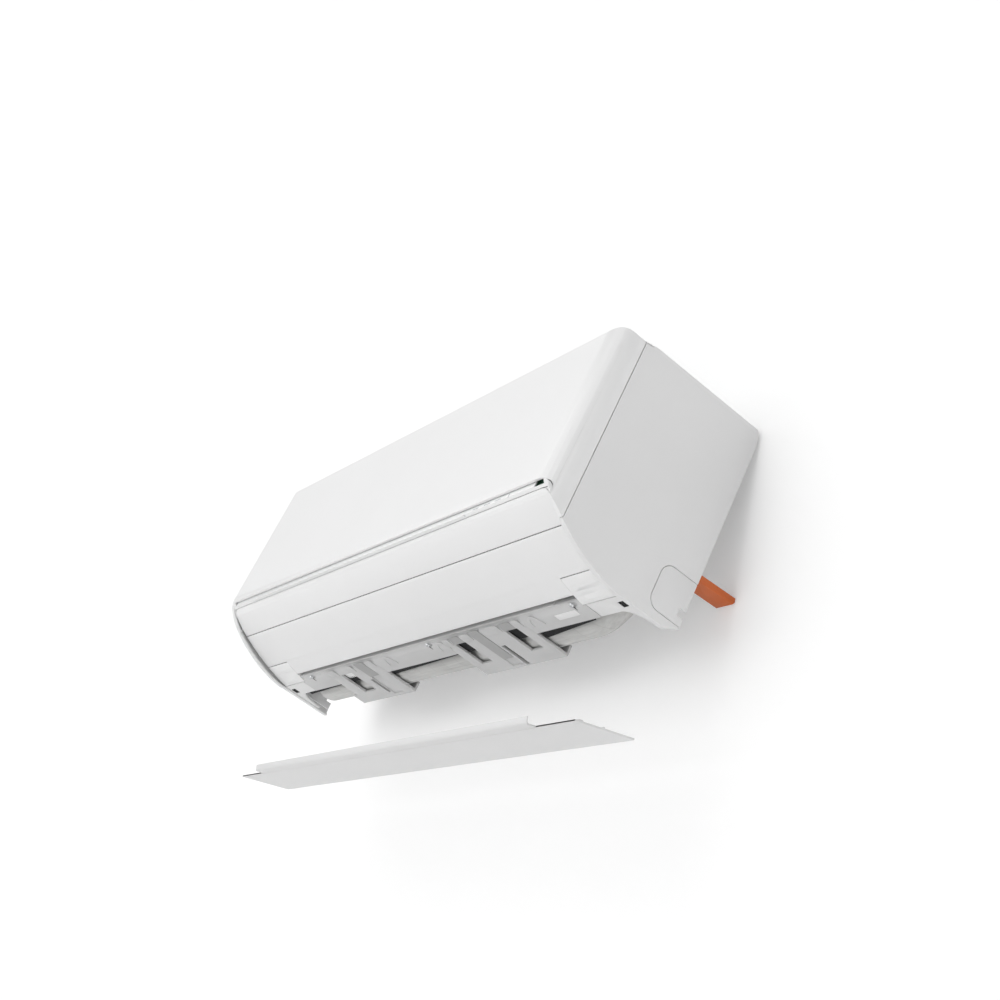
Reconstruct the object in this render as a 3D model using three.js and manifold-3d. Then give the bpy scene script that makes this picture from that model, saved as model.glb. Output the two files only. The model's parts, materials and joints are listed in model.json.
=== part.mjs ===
// Wall-hung mini split indoor unit, shown while it is being fitted: the unit hangs on the hooks of its
// wall plate, is swung out at the bottom and propped by its folding stand, and its bottom cover is off.
// Millimetres. Row frame: X right as seen from the room, Y into the wall, Z up, with the origin in the
// middle of the wall plate's rear face. The unit itself is drawn in its own frame: Y = 0 is its front
// face, Z = 0 its top, and DEPTH is the wall when it hangs upright.
import * as THREE from 'three';
import { mergeVertices } from 'three/addons/utils/BufferGeometryUtils.js';
import Module from 'manifold-3d';

const wasm = await Module();
wasm.setup();

// ---- Driving dimensions -------------------------------------------------------------------------

// Casing
const WIDTH = 870;
const HALF = WIDTH / 2;             // places below are along X from the middle
const DEPTH = 211;
const HEIGHT = 274.7;
const SHELL = 2.5;                  // wall of every moulded skin
const RIGHT_CORNER = 34;            // upright front corner at the right, seen from above
const LEFT_CORNER = 8;
const BROW_ROUND = 9;               // front face to top
const TOP_CORNER = 10;              // side to top, seen from the front
const TOP_EDGE = 3;                 // the same edge behind the panel
const EDGE_BLEND = [35, 52];        // where the one turns into the other
const TAIL = [17, 8.7];             // rear bottom corner at the right: cut back, and cut up
const REAR_EASE = 7;                // rear top corner, cut back so the unit can swing
const RIM = 7.5;                    // edge strip of the casing beside the flaps
const GAP = 0.3;                    // between pieces that touch
const SEAM = 1;                     // joint lines that show
const SWING_TILT = THREE.MathUtils.degToRad(15.7);

// Lower front curves, as control points (distance from the front face, height above the floor line)
const CHEEK_CURVE = [[0, 75.7], [0, 41.1], [78.1, 2.2], [128, -1]];
const FLAP_CURVE = [[0, 71.7], [0, 47], [87.9, 9.1], [133.8, 2.8]];
const SIDE_SEAM = 35;               // front panel to cabinet, on the sides
const TOP_SEAM = 44;                // the same joint on top
const STEP_DEPTH = 3.2;             // the seam steps back by that difference just under the top
const STEP_EASE = 1;
const PANEL_FOOT = 66.1;            // height of the panel's lower edge above the floor line
const MOUTH_CORNER = 8;             // corners of the opening round the strip and the flaps
const FLAP_CORNER = 11;

// Strip and flaps, as distances from the front face along the lower front curve
const STRIP_SETBACK = 5.7;          // strip's front behind the panel's
const STRIP_BROW = 1.5;             // its upper edge reaches up behind the panel
const STRIP_FOOT = 8.2;
const FLAP_SPLIT = 44.5;
const BLOCK_FRONT = 96.3;
const FLAP_REAR = 118.9;
const BLOCK_REAR = 133.6;
const FLAP_WALL = 4;
const FLAP_PIN = 1.4;
const FLAP_SEAM = 0.6;
const FLAP_SWEEP = 0.7;             // room round the upper flap's hinge for its turning edge
const BORE_PLAY = 0.3;              // radial play of pins in their bores
const BLOCK_REACH = 74.7;           // corner block with its rim, in from the casing's side
const BLOCK_WEB = [68.4, 59];       // the same way in to its web's two faces
const BLOCK_INNER = HALF - BLOCK_REACH;

// Chassis
const LEFT_BAY = 69;                // room between the casing's side and the bulkhead
const RIGHT_BAY = 122.7;
const LEFT_BULKHEAD = HALF - LEFT_BAY;
const RIGHT_BULKHEAD = HALF - RIGHT_BAY;
const BULKHEAD = 4;
const BACK_INSET = 12;              // rear wall of the chassis, in from the wall
const BACK_WALL = 3;
const CHASSIS_TOP = 13.3;
const DECK_HEIGHT = 57.3;           // roof of the pipe channel above the floor line
const GUIDE_WALL = 3;
const GUIDE_FACE = 121.5;           // front face of the guide's lower end
const GUIDE_FOOT = 12.7;
const GUTTER_DEPTH = 114;

// Cross-flow fan
const FAN_RADIUS = 49;
const FAN_Y = 108;
const FAN_HEIGHT = 116.7;           // fan axis above the floor line
const FAN_END_PLAY = 10;
const FAN_BLADES = 16;
const FAN_RINGS = 4;
const FAN_RING = 2;
const BLADE_CHORD = 10;
const BLADE_WALL = 1.4;
const SHAFT_RADIUS = 4;
const SCROLL_PLAY = 8;              // fan to guide, at the top
const SCROLL_GROWTH = 7;            // and how far it opens per radian

// Fan motor, clamp and bearing
const MOTOR_RADIUS = 40;
const MOTOR_LENGTH = 50;
const MOTOR_OFFSET = 4;
const CLAMP_WALL = 3;
const CLAMP_WIDTH = 16;
const BEARING_RADIUS = 15;
const BEARING_LENGTH = 10;

// Heat exchanger: each slab is a middle line (y, z from the top) and one thickness
const COIL_THICKNESS = 24;
const FRONT_COIL = [[36, -168], [36, -92]];
const UPPER_COIL = [[43, -79], [98, -25]];
const REAR_COIL = [[121, -26], [180, -100]];
const COIL_PLATE = 2.3;
const TUBE_RADIUS = 2.1;
const BEND_RADIUS = 9;
const BEND_REACH = 3;
const COIL_END_PLAY = 8;

// Drain pan under the front coil
const PAN_FRONT = 20;
const PAN_REAR = 58;
const PAN_TOP = -175;
const PAN_DEPTH = 15;
const PAN_LIP = [50, -226];         // lower end of the duct's front wall

// Air vanes
const VANES_PER_BANK = 4;
const VANE_WALL = 1.6;
const VANE_FRONT = 74;
const VANE_TOP = 57.7;              // heights above the floor line
const VANE_PIVOT = 50.7;
const VANE_FOOT = 34.2;
const VANE_HEEL = 22.7;
const LINK_ARM = 8;
const LINK_SIZE = 3;
const NOTCH_DEPTH = 5;

// Air intake and filters
const INTAKE_INSET = [43, 115];     // grille in from the casing's left and right side
const INTAKE_LEFT = HALF - INTAKE_INSET[0];
const INTAKE_RIGHT = HALF - INTAKE_INSET[1];
const INTAKE_FRONT = 62;
const INTAKE_REAR = 190;
const GRILLE_DEPTH = 5.5;
const GRILLE_RIM = 6;
const BAR = 2;                      // bars of the grille and the filter trays
const GRILLE_COLUMNS = 4;
const GRILLE_ROWS = 9;
const FILTER_DEPTH = 5.5;
const FILTER_RIM = 5;
const FILTER_COLUMNS = 4;
const FILTER_ROWS = 2;
const FILTER_NET = 0.8;

// Front frame and display
const FRAME_FRONT = 5;
const FRAME_WALL = 3;
const FRAME_INSET = [8, 31];        // frame in from the casing's left and right side
const FRAME_LEFT = HALF - FRAME_INSET[0];
const FRAME_RIGHT = HALF - FRAME_INSET[1];
const DISPLAY = { left: 142, right: 2, lamps: [116, 104, 92, 80], chip: [32, 12] };  // in from there
const FRAME_FOOT = 70.7;
const WINDOW_TOP = 22;
const WINDOW_FOOT = 102.7;
const BOARD_WALL = 1.6;
const BUTTON_RADIUS = 3.6;
const BUTTON_INSET = 90;
const BUTTON_X = HALF - BUTTON_INSET;
const BUTTON_HEIGHT = 84;
const STRIP_TAB_INSET = [77, 179];  // tab that holds the strip to the frame, in from the sides

// Underside: lip, brackets and pipes
const LIP_FRONT = 126.2;
const LIP_REAR = 157.6;
const LIP_WALL = 3.4;
const LIP_FACE = 2;                 // underside of the lip above the floor line
const LIP_HALF = LEFT_BULKHEAD - 2 * GAP;
const FLANGE_INNER = LEFT_BULKHEAD;
const LEDGE_WIDTH = 13;             // casing's own bottom flange, behind the lip
const LEDGE_INNER = HALF - LEDGE_WIDTH;
const LEDGE_FILLET = { run: 26, rear: 190 };  // the curve between both
const FLANGE_FACE = 2.5;
const BRACKET_REAR = 206;
const BRACKET_TURN = 3;
const BUNDLE_RADIUS = 21.8;
const BUNDLE_Y = 183.7;
const BUNDLE_INSET = [45, 88];      // its left end and its riser, in from the casing's sides
const BUNDLE_LEFT = HALF - BUNDLE_INSET[0];
const BUNDLE_BEND = 45;
const BUNDLE_RISER = HALF - BUNDLE_INSET[1];
const BUNDLE_TOP = 112;             // top of the riser above the floor line
const HOSE_OFFSET = 13;             // drain hose beside the riser
const BRACKETS = {
  left_pipe_bracket: {
    from: -281, to: -138.5, toe: 12, slots: [[-252, -219, 141, 185], [-199, -191.5, 163, 195.6]],
    channel: [-190, -163.5],
  },
  centre_pipe_bracket: {
    from: 52, to: 143.6, toe: 0, slots: [[70.6, 95.6, 141, 185]], channel: [120.6, 143.6],
  },
  right_pipe_bracket: {
    from: 144.2, to: 234, toe: 0, slots: [[188, 214.7, 141, 183], [148, 156.5, 163, 204]],
    channel: null,
  },
};
const LIP_SCREWS = { left_lip_screw: 107 - HALF, centre_lip_screw: 19, right_lip_screw: HALF - 90 };
const SCREW_RADIUS = 3.2;

// Side caps over the pipe knock-outs
const CAP_FRONT = 164;
const CAP_HEIGHT = 65.7;
const CAP_FOOT = 10.7;
const CAP_CORNER = 14;

// Wall plate and its hooks
const PLATE_WIDTH = 660;
const HOLE_INSET = 40;              // plate's outer holes, in from its ends
const HOLE_MIDDLE = 110;
const PLATE_TOP = 14;
const PLATE_FOOT = 172;
const PLATE_SHEET = 1.6;
const FRAME_DROP = 123;             // the object's origin on the wall, below the unit's top
const RIB_DEPTH = 5;
const HOOKS = [-250, 0, 250];
const HOOK_WIDTH = 40;
const HOOK_REACH = 9;               // front of the hook, out from the wall
const HOOK_RISE = 7;
const PIVOT_OUT = 4.7;              // hanging rail, out from the wall
const PIVOT_DROP = 9;               // and below the unit's top
const RAIL = [3.4, 5];              // section of the hanging rail

// Folding stand
const STAND_WIDTH = 28;
const STAND_THICK = 8;
const STAND_WALL_GAP = 0.3;         // between its tip and the wall
const STAND_INSET = 3;              // outer side of the stand, in from the casing's side
const STAND_DROP = 199.5;
const STAND_PIVOT_IN = 15;
const STAND_RISE = THREE.MathUtils.degToRad(2.9);
const STAND_PIN = 2;
const KNUCKLE_PLAY = 2;             // between the stand's shoulders and the bracket's ears
const EAR = 3;

// Bottom cover
const COVER_PLAY = 1;               // its end inside the casing's side
const COVER_HALF = HALF - COVER_PLAY;
const COVER_DEPTH = 73.7;
const COVER_WALL = 2.2;
const COVER_FRONT = 134.8;
const TONGUE_REACH = 12.2;
const TONGUE_RISE = 9.4;
const TONGUE_LEAN = 0.5;            // its foot, behind its tip
const TONGUE_WALL = 1.4;
const TONGUE_PLAY = 0.7;            // its tongue beside the corner blocks
const TONGUE_HALF = BLOCK_INNER - TONGUE_PLAY;
const HOOK_SLOT = [HALF - 22, HALF - 9.5, 143, 153];
const COVER_POST = 4;
const COVER_HOOK = { inset: 21, width: 6, front: 182, rear: 200, rise: 7, wall: 3, shelf: 1.6 };
const COVER_DROP = [7.2, -131.4];   // where the open cover hangs from its seat
const COVER_OFF = THREE.MathUtils.degToRad(15.7);

// ---- Places that follow from them ---------------------------------------------------------------

const FLOOR = -HEIGHT;
const MOUTH = HALF - RIM;
const FLAP_HALF = MOUTH - 2 * GAP;
const TRIM_HALF = FLAP_HALF - FLAP_CORNER - 5;
const above = (height) => FLOOR + height;
const FAN_Z = above(FAN_HEIGHT);
const DECK = above(DECK_HEIGHT);
const BACK = DEPTH - BACK_INSET;
const PIVOT_Y = DEPTH - PIVOT_OUT;
const PIVOT_Z = -PIVOT_DROP;
const BRACKET_TOP = above(LIP_FACE + LIP_WALL);
const BUNDLE_Z = BRACKET_TOP + GAP + BUNDLE_RADIUS;
const DUCT_LEFT = -LEFT_BULKHEAD + BULKHEAD;
const DUCT_RIGHT = RIGHT_BULKHEAD - BULKHEAD;
const FRAME_BACK = FRAME_FRONT + FRAME_WALL;
const BOARD_NOTCH = FRAME_BACK + 14;
const FLAP_AXIS_DEPTH = FLAP_WALL / 2;

// ---- Solids ------------------------------------------------------------------------------------

/** A closed three.js geometry as a solid that can be joined and cut. */
function solid(geometry) {
  const bare = new THREE.BufferGeometry();
  bare.setAttribute('position', geometry.getAttribute('position'));
  if (geometry.index) bare.setIndex(geometry.index);
  const merged = mergeVertices(bare, 1e-4);
  return new wasm.Manifold(new wasm.Mesh({
    numProp: 3,
    vertProperties: new Float32Array(merged.getAttribute('position').array),
    triVerts: new Uint32Array(merged.index.array),
  }));
}

function union(parts) {
  return parts.reduce((whole, part) => whole.add(part));
}

function shapeOf(points) {
  return new THREE.Shape(points.map(([a, b]) => new THREE.Vector2(a, b)));
}

/** The outline's points without any that lie on the one before. */
function distinctPoints(shape) {
  const points = shape.getPoints(4);
  return points.filter((point, i) => point.distanceTo(points.at(i - 1)) > 0.002);
}

function extruded(outline, depth, xAxis, yAxis, zAxis, offset) {
  const shape = new THREE.Shape(distinctPoints(outline));
  const geometry = new THREE.ExtrudeGeometry(shape, { depth, bevelEnabled: false });
  const turn = new THREE.Matrix4().makeBasis(xAxis, yAxis, zAxis);
  geometry.applyMatrix4(turn);
  geometry.translate(offset.x, offset.y, offset.z);
  return solid(geometry);
}

const X = new THREE.Vector3(1, 0, 0);
const Y = new THREE.Vector3(0, 1, 0);
const Z = new THREE.Vector3(0, 0, 1);

/** Side outline (y, z) drawn out along X. */
function alongX(outline, from, to) {
  const shape = Array.isArray(outline) ? shapeOf(outline) : outline;
  return extruded(shape, to - from, Y, Z, X, new THREE.Vector3(from, 0, 0));
}

/** Front outline (x, z) drawn out along Y. */
function alongY(outline, from, to) {
  const shape = Array.isArray(outline) ? shapeOf(outline) : outline;
  return extruded(shape, to - from, X, Z, Y.clone().negate(), new THREE.Vector3(0, to, 0));
}

/** Plan outline (x, y) drawn out along Z. */
function alongZ(outline, from, to) {
  const shape = Array.isArray(outline) ? shapeOf(outline) : outline;
  return extruded(shape, to - from, X, Y, Z, new THREE.Vector3(0, 0, from));
}

function block(x0, x1, y0, y1, z0, z1) {
  const geometry = new THREE.BoxGeometry(x1 - x0, y1 - y0, z1 - z0);
  geometry.translate((x0 + x1) / 2, (y0 + y1) / 2, (z0 + z1) / 2);
  return solid(geometry);
}

/** Round rod along X. */
function rod(x0, x1, y, z, radius, sides = 16) {
  const geometry = new THREE.CylinderGeometry(radius, radius, x1 - x0, sides);
  geometry.rotateZ(Math.PI / 2);
  geometry.translate((x0 + x1) / 2, y, z);
  return solid(geometry);
}

/** Round rod along Y. */
function rodY(y0, y1, x, z, radius, sides = 16) {
  const geometry = new THREE.CylinderGeometry(radius, radius, y1 - y0, sides);
  geometry.translate(x, (y0 + y1) / 2, z);
  return solid(geometry);
}

/** A path that goes from point to point, with one ring of the tube at each. */
class PointPath extends THREE.Curve {
  constructor(points) {
    super();
    this.points = points;
  }

  indexAt(u) {
    return Math.round(u * (this.points.length - 1));
  }

  getPointAt(u) {
    return this.points[this.indexAt(u)].clone();
  }

  getTangentAt(u) {
    const i = this.indexAt(u);
    const here = this.points[i];
    const before = this.points[i - 1] ?? here;
    const after = this.points[i + 1] ?? here;
    const arriving = here.clone().sub(before).normalize();
    return arriving.add(after.clone().sub(here).normalize()).normalize();
  }
}

/** Round tube along a list of points. */
function tube(points, radius, sides) {
  const section = [];
  for (let i = 0; i < sides; i += 1) {
    const angle = (2 * Math.PI * i) / sides;
    section.push([radius * Math.cos(angle), radius * Math.sin(angle)]);
  }
  const options = { steps: points.length - 1, extrudePath: new PointPath(points), bevelEnabled: false };
  return solid(new THREE.ExtrudeGeometry(shapeOf(section), options));
}

/** Points of a line, a bend about the corner and a line again. */
function bentPath(start, corner, end, bend, steps) {
  const first = corner.clone().add(start.clone().sub(corner).setLength(bend));
  const last = corner.clone().add(end.clone().sub(corner).setLength(bend));
  const round = new THREE.QuadraticBezierCurve3(first, corner, last);
  return [start, ...round.getPoints(steps), end];
}

/** Closed outline of a strip of even thickness along an open line, offset to its left. */
function stripOutline(line, thickness) {
  const moved = line.map((point, i) => {
    const before = line[Math.max(i - 1, 0)];
    const after = line[Math.min(i + 1, line.length - 1)];
    const run = new THREE.Vector2(after[0] - before[0], after[1] - before[1]).normalize();
    return [point[0] - run.y * thickness, point[1] + run.x * thickness];
  });
  return [...line, ...moved.reverse()];
}

// ---- Lower front curves -------------------------------------------------------------------------

function curveFrom(control) {
  const [a, b, c, d] = control.map(([y, height]) => new THREE.Vector2(y, above(height)));
  return new THREE.CubicBezierCurve(a, b, c, d);
}

const cheekCurve = curveFrom(CHEEK_CURVE);
const flapCurve = curveFrom(FLAP_CURVE);

/** Curve parameter at a distance from the front face. */
function curveAt(curve, y) {
  let low = 0;
  let high = 1;
  for (let i = 0; i < 40; i += 1) {
    const middle = (low + high) / 2;
    if (curve.getPoint(middle).x < y) low = middle;
    else high = middle;
  }
  return (low + high) / 2;
}

/** Point on the curve, moved into the casing by inset. */
function inside(curve, t, inset) {
  const point = curve.getPoint(t);
  const run = curve.getTangent(t);
  return [point.x - run.y * inset, point.y + run.x * inset];
}

/** Points along the curve between two distances from the front face. */
function curveLine(curve, fromY, toY, inset, steps) {
  const start = curveAt(curve, fromY);
  const end = curveAt(curve, toY);
  const line = [];
  for (let i = 0; i <= steps; i += 1) {
    line.push(inside(curve, start + ((end - start) * i) / steps, inset));
  }
  return line;
}

/** Closed outline of a curved skin that follows the flap curve. */
function skinOutline(fromY, toY, wall, steps, inset = 0) {
  const outer = curveLine(flapCurve, fromY, toY, inset, steps);
  const inner = curveLine(flapCurve, fromY, toY, inset + wall, steps);
  return [...outer, ...inner.reverse()];
}

// ---- Casing ------------------------------------------------------------------------------------

function sideOutline(inset) {
  const shape = new THREE.Shape();
  const round = BROW_ROUND - inset;
  const chin = cheekCurve.getPoint(0).y;
  shape.moveTo(inset, chin);
  shape.lineTo(inset, -BROW_ROUND);
  shape.absarc(BROW_ROUND, -BROW_ROUND, round, Math.PI, Math.PI / 2, true);
  shape.lineTo(DEPTH - REAR_EASE, -inset);
  shape.lineTo(DEPTH - REAR_EASE / 2, -inset - REAR_EASE * 0.7);
  shape.lineTo(DEPTH, -inset - 3 * REAR_EASE);
  shape.lineTo(DEPTH, FLOOR + inset);
  shape.lineTo(BLOCK_REAR + SEAM, FLOOR + inset);
  for (const [y, z] of curveLine(cheekCurve, cheekCurve.v0.x, cheekCurve.v3.x, inset, 14).reverse()) {
    shape.lineTo(y, z);
  }
  return shape;
}

function planOutline(inset, back) {
  const shape = new THREE.Shape();
  const side = HALF - inset;
  shape.moveTo(-side, back);
  shape.lineTo(-side, LEFT_CORNER);
  shape.absarc(-HALF + LEFT_CORNER, LEFT_CORNER, LEFT_CORNER - inset, Math.PI, 1.5 * Math.PI, false);
  shape.lineTo(HALF - RIGHT_CORNER, inset);
  shape.absarc(HALF - RIGHT_CORNER, RIGHT_CORNER, RIGHT_CORNER - inset, -Math.PI / 2, 0, false);
  shape.lineTo(side, back);
  return shape;
}

function frontOutline(inset, foot, corner) {
  const shape = new THREE.Shape();
  const side = HALF - inset;
  shape.moveTo(-side, foot);
  shape.lineTo(side, foot);
  shape.absarc(HALF - corner, -corner, corner - inset, 0, Math.PI / 2, false);
  shape.absarc(-HALF + corner, -corner, corner - inset, Math.PI / 2, Math.PI, false);
  return shape;
}

/** Room under the top outline, its long edges rounder on the panel than behind it. */
function topForm(inset, low, back) {
  const [start, end] = EDGE_BLEND;
  const slice = (corner, from, to) => alongY(frontOutline(inset, low, corner), from, to);
  const blend = wasm.Manifold.hull([slice(TOP_CORNER, start - 1, start), slice(TOP_EDGE, end, end + 1)]);
  return union([slice(TOP_CORNER, -1, start), blend, slice(TOP_EDGE, end, back)]);
}

/** The whole casing as one skin, open at the back. */
function casingSkin() {
  const low = FLOOR - 20;
  const outer = alongX(sideOutline(0), -HALF, HALF)
    .intersect(alongZ(planOutline(0, DEPTH), low, 1))
    .intersect(topForm(0, low, DEPTH + 1));
  const back = block(-HALF + SHELL, HALF - SHELL, DEPTH - REAR_EASE, DEPTH + 9, FLOOR + SHELL, 9);
  const inner = alongX(sideOutline(SHELL), -HALF + SHELL, HALF - SHELL)
    .intersect(alongZ(planOutline(SHELL, DEPTH + 9), low, 1))
    .intersect(topForm(SHELL, low, DEPTH + 9));
  return outer.subtract(inner).subtract(back);
}

/** Region in front of the joint between panel and cabinet. */
function panelRegion(offset) {
  const side = SIDE_SEAM - SEAM / 2 + offset;
  const top = TOP_SEAM + 1.9 * offset;
  const low = cheekCurve.getPoint(curveAt(cheekCurve, SIDE_SEAM)).y;
  const steps = 6;
  const step = -STEP_DEPTH - offset;
  const outline = [[-9, 9], [top, 9], [top, step]];
  for (let i = 1; i <= steps; i += 1) {
    const angle = (Math.PI / 2) * (i / steps);
    outline.push([side + (top - side) * Math.cos(angle), step - STEP_EASE * Math.sin(angle)]);
  }
  outline.push([side, low + 3], [side - 4, low - 9], [-9, low - 9]);
  return alongX(outline, -HALF - 9, HALF + 9);
}

/** Opening round the display strip and the flaps. */
function mouthOutline(margin, top) {
  const shape = new THREE.Shape();
  const side = MOUTH - margin;
  const corner = MOUTH_CORNER - margin;
  shape.moveTo(-side, FLOOR - 30);
  shape.lineTo(side, FLOOR - 30);
  shape.absarc(side - corner, top - corner, corner, 0, Math.PI / 2, false);
  shape.absarc(-side + corner, top - corner, corner, Math.PI / 2, Math.PI, false);
  return shape;
}

const MOUTH_TOP = above(PANEL_FOOT);
const PANEL_PIVOT = [TOP_SEAM - 1.4, -SHELL - 0.4];
const PANEL_PIN = 1.5;
const HINGE_INSET = 20;
const RIB_INSET = 135;
const PANEL_RIBS = [RIB_INSET - HALF, -100, 100, HALF - RIB_INSET];
const HINGE_X = [-HALF + HINGE_INSET, HALF - HINGE_INSET];

function frontPanel(skin) {
  const nose = alongX([[TOP_SEAM - 1.6, 1], [TOP_SEAM + 1, 1], [TOP_SEAM + 1, -2.6]], -HALF, HALF);
  let panel = skin.intersect(panelRegion(0))
    .subtract(alongY(mouthOutline(0, MOUTH_TOP), -9, SIDE_SEAM + 9))
    .subtract(nose);
  for (const x of HINGE_X) {
    panel = panel.add(rod(x - 6, x + 6, PANEL_PIVOT[0], PANEL_PIVOT[1], PANEL_PIN, 12));
  }
  for (const x of PANEL_RIBS) {
    panel = panel.add(block(x - 1.2, x + 1.2, SHELL - 0.5, FRAME_FRONT - 2 * GAP, above(FRAME_FOOT), -30));
  }
  return panel;
}

/** Ledge inside the casing where each panel pin rests. */
function hingeSaddle(x) {
  const y = PANEL_PIVOT[0];
  const seat = PANEL_PIVOT[1] - PANEL_PIN - GAP;
  const shelf = block(x - 4, x + 4, y - 3, TOP_SEAM + 6, seat - 3, seat);
  const web = block(x - 4, x + 4, TOP_SEAM + 2.4, TOP_SEAM + 6, seat - 3, -SHELL / 2);
  return shelf.add(web);
}

function capOutline(margin) {
  const shape = new THREE.Shape();
  const front = CAP_FRONT + margin;
  const top = above(CAP_HEIGHT) - margin;
  const foot = above(CAP_FOOT) + margin;
  const corner = CAP_CORNER - margin;
  const rear = DEPTH + 1 - 2 * margin;
  shape.moveTo(rear, foot);
  shape.lineTo(rear, top);
  shape.absarc(front + corner, top - corner, corner, Math.PI / 2, Math.PI, false);
  shape.absarc(front + corner, foot + corner, corner, Math.PI, 1.5 * Math.PI, false);
  return shape;
}

function sideCap(side) {
  const outer = side * HALF;
  const inner = side * (HALF - SHELL);
  const [from, to] = outer < inner ? [outer, inner] : [inner, outer];
  const notch = block(from - 1, to + 1, DEPTH - 9, DEPTH + 1, above(CAP_FOOT + 10), above(CAP_FOOT + 20));
  return alongX(capOutline(SEAM / 2), from, to)
    .subtract(block(from - 1, to + 1, DEPTH - GAP, DEPTH + 9, FLOOR, 0))
    .subtract(notch);
}

/** Bottom flange of the casing at one end, with the slot for the cover's post. */
function bottomFlange(side) {
  const face = above(FLANGE_FACE);
  const from = side < 0 ? -HALF + SHELL - 0.5 : FLANGE_INNER;
  const to = side < 0 ? -FLANGE_INNER : HALF - SHELL + 0.5;
  const plate = block(from, to, BLOCK_REAR + SEAM, LIP_REAR, face, face + SHELL);
  const ledgeFrom = side < 0 ? from : LEDGE_INNER;
  const ledgeTo = side < 0 ? -LEDGE_INNER : to;
  const ledge = block(ledgeFrom, ledgeTo, LIP_REAR - 1, DEPTH - TAIL[0], face, face + SHELL);
  const [near, far, front, rear] = HOOK_SLOT;
  const slot = side < 0
    ? block(-far, -near, front, rear, FLOOR, FLOOR + 20)
    : block(near, far, front, rear, FLOOR, FLOOR + 20);
  const [start, end] = [LEDGE_INNER - LEDGE_FILLET.run, LEDGE_FILLET.rear];
  const bend = new THREE.QuadraticBezierCurve(
    new THREE.Vector2(start, LIP_REAR - 1), new THREE.Vector2(LEDGE_INNER - 1, LIP_REAR),
    new THREE.Vector2(LEDGE_INNER, end));
  const web = bend.getPoints(8).map((point) => [point.x, point.y]);
  let fillet = alongZ([...web, [LEDGE_INNER + 1, end], [LEDGE_INNER + 1, LIP_REAR - 1]], face, face + SHELL);
  if (side < 0) fillet = fillet.mirror([1, 0, 0]);
  return union([plate, ledge, fillet]).subtract(slot);
}

function cabinetShell(skin) {
  const low = FLOOR - 20;
  let cabinet = skin.subtract(panelRegion(SEAM))
    .subtract(block(-MOUTH, MOUTH, -9, DEPTH + 9, low, FLOOR + SHELL + 1))
    .subtract(alongY(mouthOutline(0, MOUTH_TOP), -9, BLOCK_REAR + SEAM))
    .subtract(block(-INTAKE_LEFT, INTAKE_RIGHT, INTAKE_FRONT, INTAKE_REAR, -9, 9))
    .subtract(alongX([
      [DEPTH - TAIL[0], low], [DEPTH - TAIL[0], FLOOR], [DEPTH, FLOOR + TAIL[1]],
      [DEPTH + 1, FLOOR + TAIL[1]], [DEPTH + 1, low],
    ], 0, HALF + 1));
  for (const side of [-1, 1]) {
    const cut = side < 0 ? [-HALF - 1, -HALF + SHELL + 1] : [HALF - SHELL - 1, HALF + 1];
    cabinet = cabinet.subtract(alongX(capOutline(-SEAM / 2), cut[0], cut[1]));
    cabinet = cabinet.add(bottomFlange(side));
  }
  for (const x of HINGE_X) cabinet = cabinet.add(hingeSaddle(x));
  return cabinet;
}

// ---- Front frame, strip and flaps ----------------------------------------------------------------

function frontFrame() {
  const foot = above(FRAME_FOOT);
  const plate = block(-FRAME_LEFT, FRAME_RIGHT, FRAME_FRONT, FRAME_BACK, foot, -CHASSIS_TOP);
  const window = block(DUCT_LEFT + 4, DUCT_RIGHT - 4, 0, 20, above(WINDOW_FOOT), -WINDOW_TOP);
  let frame = plate.subtract(window);
  for (const x of [-130, 90]) {
    frame = frame.add(block(x - 4, x + 4, FRAME_FRONT, FRAME_BACK, above(WINDOW_FOOT) - 1, -WINDOW_TOP + 1));
  }
  const hole = rodY(0, 20, BUTTON_X, above(BUTTON_HEIGHT), BUTTON_RADIUS + GAP);
  for (const x of [FRAME_RIGHT - 134, FRAME_RIGHT - 8]) {
    frame = frame.add(rodY(FRAME_BACK - 1, FRAME_BACK + 4, x, above(FRAME_FOOT + 8), 3, 10));
  }
  return frame.subtract(hole);
}

function displayBoard() {
  const front = FRAME_BACK + 4 + GAP;
  const board = block(FRAME_RIGHT - DISPLAY.left, FRAME_RIGHT - DISPLAY.right, front, front + BOARD_WALL,
    above(FRAME_FOOT - 4), above(FRAME_FOOT + 26));
  const parts = [board];
  for (const x of DISPLAY.lamps.map((inset) => FRAME_RIGHT - inset)) {
    parts.push(block(x, x + 4, front - 2, front + 0.5, above(FRAME_FOOT - 3), above(FRAME_FOOT - 1)));
  }
  const [chipFrom, chipTo] = DISPLAY.chip.map((inset) => FRAME_RIGHT - inset);
  parts.push(block(chipFrom, chipTo, front + 1, front + 7, above(FRAME_FOOT + 4), above(FRAME_FOOT + 14)));
  return union(parts);
}

function serviceButton() {
  const z = above(BUTTON_HEIGHT);
  const stem = rodY(FRAME_FRONT - 1.5, FRAME_BACK + 2.2, BUTTON_X, z, BUTTON_RADIUS);
  const collar = rodY(FRAME_BACK + GAP, FRAME_BACK + 1.8, BUTTON_X, z, BUTTON_RADIUS + 1.6);
  return stem.add(collar);
}

const upperAxis = inside(flapCurve, curveAt(flapCurve, STRIP_FOOT + 1.6), FLAP_AXIS_DEPTH);
const lowerAxis = inside(flapCurve, curveAt(flapCurve, FLAP_REAR - 2), FLAP_AXIS_DEPTH);

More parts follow.
